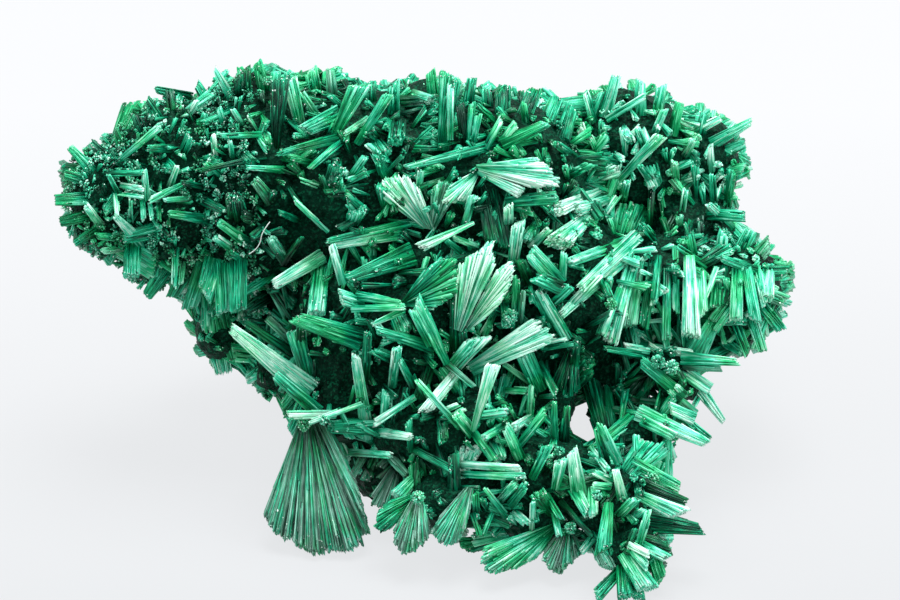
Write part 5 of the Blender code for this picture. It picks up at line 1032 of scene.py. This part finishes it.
def fan_needles(root_line, rim, rise, lift, thickness, tone, rng, fibre=FIBRE):
    """Needles of one fan, in ribs that meet the rim a little above and below its mean depth."""
    middle = [(root_line[0][axis] + root_line[1][axis]) / 2.0 for axis in (0, 1)]
    depth = front(*middle) - ROOT_DEPTH + lift
    farthest = max(math.dist(point, middle) for point in rim)
    run = [math.dist(first, second) for first, second in zip(rim, rim[1:])]
    length = sum(run)
    layers = max(2, int(thickness / fibre / 1.3))
    count = int(length / fibre * 1.15) * layers
    made_starts = []
    made_ends = []
    tones = []
    sides = []
    grain = []
    begun = []
    ribs = rng.normal(0.0, 1.0, int(length / RIB) + 2)
    for index in range(count):
        share = (index // layers + rng.random()) / (count // layers + 1)
        layer = (index % layers + rng.random()) / layers
        left = share * length
        step = 0
        while step < len(run) - 1 and left > run[step]:
            left -= run[step]
            step += 1
        part = min(1.0, left / run[step])
        edge = [rim[step][axis] + (rim[step + 1][axis] - rim[step][axis]) * part for axis in (0, 1)]
        inner = [root_line[0][axis] + (root_line[1][axis] - root_line[0][axis]) * share for axis in (0, 1)]
        bow = math.sin(math.pi * share)
        phase = share * length / RIB
        rib = math.sin(phase * 2.0 * math.pi)
        own = ribs[int(phase)]
        thick = thickness * (0.5 + 0.5 * bow)
        rim_depth = depth + rise * math.dist(edge, middle) / farthest + 0.3 * bow - thick * layer
        rim_depth += 0.06 * rib + 0.08 * own
        short = 1.0 - 0.035 * abs(own) - abs(rng.normal(0.0, 0.03)) - (0.1 if rng.random() < 0.1 else 0.0)
        root_depth = depth + 0.25 - 0.7 * layer
        late = rng.uniform(0.0, 0.65) if rng.random() < 0.45 else 0.0
        if late and rng.random() < 0.5:
            short *= rng.uniform(0.4 + 0.5 * late, 1.0)
        run_depth = rim_depth - root_depth
        begin = [inner[axis] + (edge[axis] - inner[axis]) * late for axis in (0, 1)]
        reach = [inner[axis] + (edge[axis] - inner[axis]) * short for axis in (0, 1)]
        reach = [value + rng.normal(0.0, 0.03) for value in reach]
        begin_depth = root_depth + run_depth * late + rng.normal(0.0, 0.02)
        made_starts.append(place(begin[0], begin[1], begin_depth))
        made_ends.append(place(reach[0], reach[1], root_depth + run_depth * short))
        begun.append(late)
        tones.append(TONES[tone] + 0.07 * rib + 0.06 * own + rng.normal(0.0, 0.07))
        sides.append(ACROSS * (rim[step + 1][0] - rim[step][0]) + UP * (rim[step + 1][1] - rim[step][1]))
        grain.append((share * length, thick * layer))
    root_wide = max(math.dist(*root_line) * layers / count * 1.6, 0.4 * fibre) * MM
    begun = np.array(begun)
    dull = np.full(count, SHADE_GREYING.get(tone, 0.0))
    starts = np.array(made_starts)
    ends = np.array(made_ends)
    tip_wide = fibre * 2.0 * MM
    widths = (root_wide + (tip_wide - root_wide) * begun, np.full(count, tip_wide))
    turns = math.pi / 4.0 + rng.normal(0.0, 0.3, count)
    grain = np.array(grain) + rng.uniform(0.0, 90.0, 2)[None, :]
    return starts, ends, *widths, np.array(tones), dull, np.array(sides), turns, grain


for number, (fan_name, entry) in enumerate(FANS.items()):
    rng = np.random.default_rng(200 + number)
    grow("fan_" + fan_name, [fan_needles(*entry, rng)], rng)


# Drusy pads and knots
# Where needles are seen end-on they show as pale grainy buttons, each a hemisphere of short needles.
# They sit on the sheaves and at the roots of the fans.
DRUSE = {
    "disc_left": ((-7.6, 11.3), 0.6, 0.2),
    "dome_bright": ((-12.95, 15.75), 0.42, 0.2),
    "pad_waist": ((-7.3, 8.75), 0.4, 0.9),
    "knot_waist": ((-6.25, 9.0), 0.3, 1.0),
    "knot_arm": ((-9.15, 26.0), 0.3, 0.2),
    "pad_apron": ((-1.6, 5.15), 0.4, 0.8),
    "pad_foot": ((10.1, 6.15), 0.4, 0.2),
    "knot_centre": ((5.45, 7.5), 0.3, 0.8),
    "knot_beam": ((3.0, 14.2), 0.45, 0.2),
    "pad_lobe": ((8.05, 14.8), 0.35, 0.6),
    "pad_spur": ((10.4, 11.9), 0.4, 0.6),
    "pad_spur_dark": ((11.1, 11.6), 0.45, 0.4),
    "pad_bottom": ((6.0, 3.65), 0.35, 0.5),
    "pad_left": ((-9.8, 14.6), 0.6, -0.1),
    "ball_lobe": ((13.8, 18.2), 0.42, 0.3),
    "pad_blob": ((7.3, 5.3), 0.3, 0.9),
}
def burr(middle, radius, tone, count, rng):
    """Short needles that stand out all round from one spot."""
    middle = np.array(middle)
    ways = rng.normal(0.0, 1.0, (count, 3))
    ways /= np.linalg.norm(ways, axis=1)[:, None]
    reach = radius * MM * rng.uniform(0.55, 1.0, count)
    ends = middle[None, :] + ways * reach[:, None]
    starts = middle[None, :] + ways * (0.3 * radius * MM)
    tones = tone + rng.normal(0.0, 0.15, count)
    widths = (np.full(count, 0.05 * MM), np.full(count, 0.11 * MM))
    sides = rng.normal(0.0, 1.0, (count, 3))
    turns = rng.uniform(0.0, 6.3, count)
    grain = rng.uniform(0.0, 90.0, (count, 2))
    # Every burr needle gets a little of the painted grey of shade.
    return starts, ends, *widths, tones, np.full(count, 0.15), sides, turns, grain


def pad(centre, radius, lift, rng):
    """A burr half sunk in the show side at a spot across and up."""
    depth = front(*centre) - 0.45 * radius + lift
    return burr(place(centre[0], centre[1], depth), radius, 0.5, int(170 * (radius / 0.4) ** 2), rng)


pad_rng = np.random.default_rng(300)
grow("drusy_pads", [pad(*entry, pad_rng) for entry in DRUSE.values()], pad_rng)


# Sheaves on the back, the top and underneath
# The hidden sides carry larger sheaves by the same rule as the solid, leaning every way but never
# past the outline that the show side has.
BACK_SPACING = 2.0
BACK_LENGTH = (2.0, 3.4)
BACK_WIDTH = (1.2, 2.4)
FRONT_SPACING = 1.5
FRONT_LENGTH = (1.3, 2.3)
FRONT_WIDTH = (0.7, 1.2)
OUTLINE_MARGIN = 0.3
SHOW_CLEARANCE = 0.2
HEADING_TRIALS = 16
RULE_SEED = 5
SHOW_REGIONS = (LEFT_ARM, TONGUE, CROWN, LOBE_TOP, CENTRE, LOBE_RIGHT, SPUR, WAIST, FOOT, BACK_FANS)

# Gaps that show daylight through the cluster, and deep dark recesses: centre (across, up), radius.
WINDOWS = [
    ((6.6, 9.0), 0.6),
    ((10.05, 10.55), 0.35),
]
RECESSES = [
    ((6.8, 14.4), 1.2), ((7.4, 11.5), 1.3), ((8.9, 11.4), 0.6), ((-8.0, 15.0), 0.8),
    ((-6.0, 11.4), 1.1),
    ((-1.2, 8.5), 1.0), ((-0.4, 6.0), 0.7), ((-3.8, 6.5), 0.7), ((8.6, 3.5), 0.6), ((6.2, 4.0), 0.5),
    ((10.2, 18.7), 0.9), ((12.7, 18.7), 0.8), ((-7.5, 19.0), 2.0), ((-13.2, 18.2), 0.9),
    ((-3.0, 16.5), 0.8),
]

def buried(point):
    """Whether a point of the show frame lies well inside the core."""
    for centre, full in LUMPS.values():
        half = sunk(full)
        if sum(((point[axis] - centre[axis]) / half[axis]) ** 2 for axis in range(3)) < 0.88:
            return True
    return False


def hidden_behind(across, up):
    """Whether a point is covered by the specimen as seen on its show side."""
    for centre, half in LUMPS.values():
        wide = half[0] + OUTLINE_MARGIN
        high = half[1] + OUTLINE_MARGIN
        if ((across - centre[0]) / wide) ** 2 + ((up - centre[1]) / high) ** 2 < 1.0:
            return True
    return False


def in_gap(across, up, gaps, margin):
    """Whether a point lies in or near one of the gaps of the show side."""
    return any(math.hypot(across - spot[0], up - spot[1]) < radius + margin for spot, radius in gaps)


def in_shade(spot, end):
    """Whether a sheaf stands at the rim of a deep recess, where hardly any light gets in."""
    return in_gap(spot[0], spot[1], RECESSES, 0.3) or in_gap(end[0], end[1], RECESSES, 0.0)


def near_named(spot):
    """Whether a sheaf laid out on the show side already covers a point."""
    for region in SHOW_REGIONS:
        for start, end, root_width, tip_width, *_ in region:
            if max(root_width, tip_width) < 0.42:
                continue
            run = (end[0] - start[0], end[1] - start[1])
            length = math.hypot(*run)
            share = ((spot[0] - start[0]) * run[0] + (spot[1] - start[1]) * run[1]) / length ** 2
            share = min(1.0, max(0.0, share))
            gap = math.hypot(spot[0] - start[0] - share * run[0], spot[1] - start[1] - share * run[1])
            if gap < 0.25 + 0.5 * max(root_width, tip_width):
                return True
    return False


def heading_that_stays_hidden(spot, outward, length_range, rng):
    """A leaning direction whose free end stays inside the outline, below the show side, off the floor."""
    for trial in range(HEADING_TRIALS):
        lean = Vector([rng.gauss(0.0, 0.8) for _ in range(3)])
        heading = (outward * 0.6 + lean - outward * min(0.0, lean.dot(outward))).normalized()
        length = rng.uniform(*length_range) * (1.0 - 0.5 * trial / HEADING_TRIALS)
        end = tuple(spot[axis] + heading[axis] * length for axis in range(3))
        if not hidden_behind(end[0], end[1]) or in_gap(end[0], end[1], WINDOWS, 0.8):
            continue
        if end[2] > front(end[0], end[1]) - SHOW_CLEARANCE:
            continue
        if place(*end).z > 0.3 * MM:
            return heading, end
    return None


def ruled_crystals():
    """Roots, free ends, widths and facing of the sheaves placed by rule, if shown, and if in shade."""
    rng = random.Random(RULE_SEED)
    grown = []
    ruled = []
    for centre, full in LUMPS.values():
        half = sunk(full)
        area = half[0] * half[1] + half[1] * half[2] + half[0] * half[2]
        for _ in range(int(area * 8.0)):
            height = rng.uniform(-1.0, 1.0)
            around = rng.uniform(0.0, 2.0 * math.pi)
            level = math.sqrt(1.0 - height * height)
            normal = (level * math.cos(around), level * math.sin(around), height)
            spot = tuple(centre[axis] + normal[axis] * half[axis] for axis in range(3))
            root = place(*spot)
            if root.z < 0.8 * MM or buried(spot) or in_gap(spot[0], spot[1], WINDOWS, 0.8):
                continue
            shown = height > 0.3
            spacing = FRONT_SPACING if shown else BACK_SPACING
            if shown and (near_named(spot) or in_gap(spot[0], spot[1], RECESSES, 0.0)):
                continue
            if any((root - other).length < spacing * MM for other in grown):
                continue
            outward = Vector([normal[axis] / half[axis] for axis in range(3)]).normalized()
            found = heading_that_stays_hidden(spot, outward, FRONT_LENGTH if shown else BACK_LENGTH, rng)
            if found is None:
                continue
            heading, end = found
            grown.append(root)
            inner = place(*(spot[axis] - (heading[axis] + outward[axis]) * 0.5 for axis in range(3)))
            wide = rng.uniform(*(FRONT_WIDTH if shown else BACK_WIDTH))
            narrow = wide * rng.uniform(0.35, 0.7)
            if rng.random() < 0.6:
                wide, narrow = narrow, wide
            face = ACROSS * outward.x + UP * outward.y + TOWARD * outward.z
            ruled.append((inner, place(*end), wide, narrow, face, shown, in_shade(spot, end)))
    return ruled


back_rng = np.random.default_rng(400)
back_sheaves = []
between_sheaves = []
for inner, outer, inner_width, outer_width, looks, shown, shaded in ruled_crystals():
    tone = "gmdmgd"[back_rng.integers(6)] if shown else "gmpgmmg"[back_rng.integers(7)]
    tone = "d" if shaded else tone
    fibre = 1.2 * FIBRE if shown else 2.0 * FIBRE
    made = sheaf(inner, outer, inner_width, outer_width, looks, tone, back_rng, 0.6, fibre)
    (between_sheaves if shown else back_sheaves).append(made)
grow("back_sheaves", back_sheaves, back_rng)
grow("sheaves_between", between_sheaves, back_rng)


# Small sheaves between the large ones
# The crust carries short sheaves under a millimetre and a half long, lying low on the show side and
# leaving its recesses empty. The left arm has the finest, a felt of splinters among tiny burrs.
TUFT_SPACING = 0.62
TUFT_LENGTH = (0.7, 1.6)
TUFT_WIDTH = (0.2, 0.5)
ARM_FINENESS = 0.47
BARE_SHARE = 0.4


def tufts(rng):
    """Small sheaves all over the lumps, thinned to their spacing with a coarse grid."""
    taken = set()
    made = []
    for centre, full in LUMPS.values():
        half = sunk(full)
        area = half[0] * half[1] + half[1] * half[2] + half[0] * half[2]
        for _ in range(int(area * 26.0)):
            height = rng.uniform(-1.0, 1.0)
            around = rng.uniform(0.0, 2.0 * math.pi)
            level = math.sqrt(1.0 - height * height)
            normal = (level * math.cos(around), level * math.sin(around), height)
            spot = tuple(centre[axis] + normal[axis] * half[axis] for axis in range(3))
            on_show = height > 0.0
            on_arm = spot[0] < -9.5 and spot[1] > 15.0 and height > -0.3
            kind = "arm" if on_arm else "show" if on_show else "hidden"
            size = {"arm": ARM_FINENESS, "show": 1.0, "hidden": 1.5}[kind]
            cell = (size, *(int(math.floor(value / (TUFT_SPACING * size))) for value in spot))
            if cell in taken or buried(spot) or place(*spot).z < 0.3 * MM:
                continue
            if in_gap(*spot[:2], WINDOWS, 0.0):
                continue
            if on_show and in_gap(spot[0], spot[1], RECESSES, -0.3):
                continue
            if height > 0.4 and not on_arm and rng.random() < BARE_SHARE:
                taken.add(cell)
                continue
            outward = Vector([normal[axis] / half[axis] for axis in range(3)]).normalized()
            lengths = [length * size for length in TUFT_LENGTH]
            found = heading_that_stays_hidden(spot, outward, lengths, rng)
            if found is None:
                continue
            heading, end = found
            taken.add(cell)
            inner = place(*(spot[axis] - heading[axis] * 0.3 - outward[axis] * 0.2 for axis in range(3)))
            wide = rng.uniform(*TUFT_WIDTH) * size
            face = ACROSS * outward.x + UP * outward.y + TOWARD * outward.z
            on_lobe = spot[0] > 7.5 and spot[1] > 13.0
            # On the lobe the tufts get paler tones, painted light where the lobe is more brightly lit.
            tones = "mdgddmgp" if on_arm else "gpgp" if on_lobe else "mdgmdm" if on_show else "mggpm"
            tone = "d" if in_shade(spot, end) and not on_arm else rng.choice(tones)
            made.append((inner, place(*end), wide * rng.uniform(0.3, 0.7), wide, face, tone, kind))
    return made


BURR_SHARE = 0.55
BURR_NEEDLES = 24

tuft_rng = np.random.default_rng(500)
TUFTS = tufts(random.Random(500))
burrs = []
for entry in [entry for entry in TUFTS if entry[6] == "arm"]:
    if tuft_rng.random() < BURR_SHARE:
        TUFTS.remove(entry)
        spot = np.array(entry[0]) * 0.4 + np.array(entry[1]) * 0.6
        burrs.append(burr(spot, tuft_rng.uniform(0.2, 0.36), TONES[entry[5]], BURR_NEEDLES, tuft_rng))
grow("burrs_left_arm", burrs, tuft_rng)
for tuft_name, place_kind, fibre in (
    ("tufts_left_arm", "arm", FIBRE),
    ("tufts_show_side", "show", FIBRE),
    ("tufts_hidden_side", "hidden", 1.9 * FIBRE),
):
    chosen = [sheaf(*entry[:6], tuft_rng, 0.7, fibre) for entry in TUFTS if entry[6] == place_kind]
    grow(tuft_name, chosen, tuft_rng)


# Lint
# One hair of pale lint, about 0.06 mm thick, is caught on the sheaves left of the middle.
LINT = [(-9.0, 18.9), (-9.3, 18.5), (-9.45, 18.2), (-9.45, 17.9), (-9.7, 17.5), (-10.05, 17.3)]
LINT_THICKNESS = 0.045

deselect()
route = bpy.data.curves.new("lint_hair", "CURVE")
route.dimensions = "3D"
route.bevel_depth = 0.5 * LINT_THICKNESS * MM
route.bevel_resolution = 2
route.use_fill_caps = True
strand = route.splines.new("NURBS")
strand.points.add(len(LINT) - 1)
for point, (across, up) in zip(strand.points, LINT):
    point.co = (*place(across, up, front(across, up) + 0.55), 1.0)
strand.use_endpoint_u = True
strand.order_u = 4
lint = bpy.data.objects.new("lint_hair", route)
bpy.context.scene.collection.objects.link(lint)
lint.select_set(True)
bpy.context.view_layer.objects.active = lint
bpy.ops.object.convert(target="MESH")
lint = bpy.context.object
# Cotton lint: soft matt white.
cotton = bpy.data.materials.new("cotton_lint")
cotton.use_nodes = True
tree = cotton.node_tree
tree.nodes["Principled BSDF"].inputs["Roughness"].default_value = 0.85
where = node(tree, "ShaderNodeTexCoord")
fuzz = node(tree, "ShaderNodeTexNoise", [(0, where, 3)])
fuzz.inputs["Scale"].default_value = 1.0 / (0.1 * MM)
white = node(tree, "ShaderNodeValToRGB", [(0, fuzz, 0)])
white.color_ramp.elements[0].color = linear("#a9b8b1")
white.color_ramp.elements[1].color = linear("#dfe7e3")
tree.links.new(white.outputs[0], tree.nodes["Principled BSDF"].inputs["Base Color"])
lint.data.materials.append(cotton)
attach(lint, "root")


# Studio
# A plain pale floor and soft white light from above, as for a specimen shot on a white sweep.
deselect()
bpy.ops.mesh.primitive_plane_add(size=6.0, location=(0.0, 0.0, 0.0))
floor = bpy.context.object
floor.name = "studio_floor"
# Lit white paper: it glows evenly, so the specimen casts hardly any shadow on it, and fades to the front.
paper = bpy.data.materials.new("backlit_white_paper")
paper.use_nodes = True
tree = paper.node_tree
sheet = tree.nodes["Principled BSDF"]
sheet.inputs["Base Color"].default_value = linear("#3a3b3c")
sheet.inputs["Roughness"].default_value = 0.9
sheet.inputs["Specular IOR Level"].default_value = 0.0
where = node(tree, "ShaderNodeTexCoord")
away = node(tree, "ShaderNodeSeparateXYZ", [(0, where, 3)])
fade = node(tree, "ShaderNodeMapRange", [(0, away, 1)], in_1=-0.025, in_2=0.03)
glow = node(tree, "ShaderNodeValToRGB", [(0, fade, 0)])
glow.color_ramp.elements[0].color = linear("#dcdee0")
glow.color_ramp.elements[1].color = linear("#edeef0")
tree.links.new(glow.outputs[0], sheet.inputs["Emission Color"])
sheet.inputs["Emission Strength"].default_value = 1.0
floor.data.materials.append(paper)

LIGHTS = {
    "soft_top": ((0.05, 0.12, 0.5), 0.32, 5.0),
    "soft_left": ((-0.4, -0.12, 0.35), 0.3, 1.7),
    "soft_front": ((0.15, -0.5, 0.3), 0.3, 1.1),
    "soft_right": ((0.42, -0.1, 0.25), 0.3, 1.6),
}
for light_name, (spot, size, power) in LIGHTS.items():
    bpy.ops.object.light_add(type="AREA", location=spot)
    lamp = bpy.context.object
    lamp.name = light_name
    lamp.data.energy = power
    lamp.data.size = size
    lamp.rotation_euler = (Vector((0.0, 0.0, 0.009)) - Vector(spot)).to_track_quat("-Z", "Y").to_euler()

world = bpy.data.worlds.new("white_room")
bpy.context.scene.world = world
world.use_nodes = True
world.node_tree.nodes["Background"].inputs["Color"].default_value = linear("#f4f6f8")
world.node_tree.nodes["Background"].inputs["Strength"].default_value = 0.6
bpy.context.scene.view_settings.view_transform = "Standard"
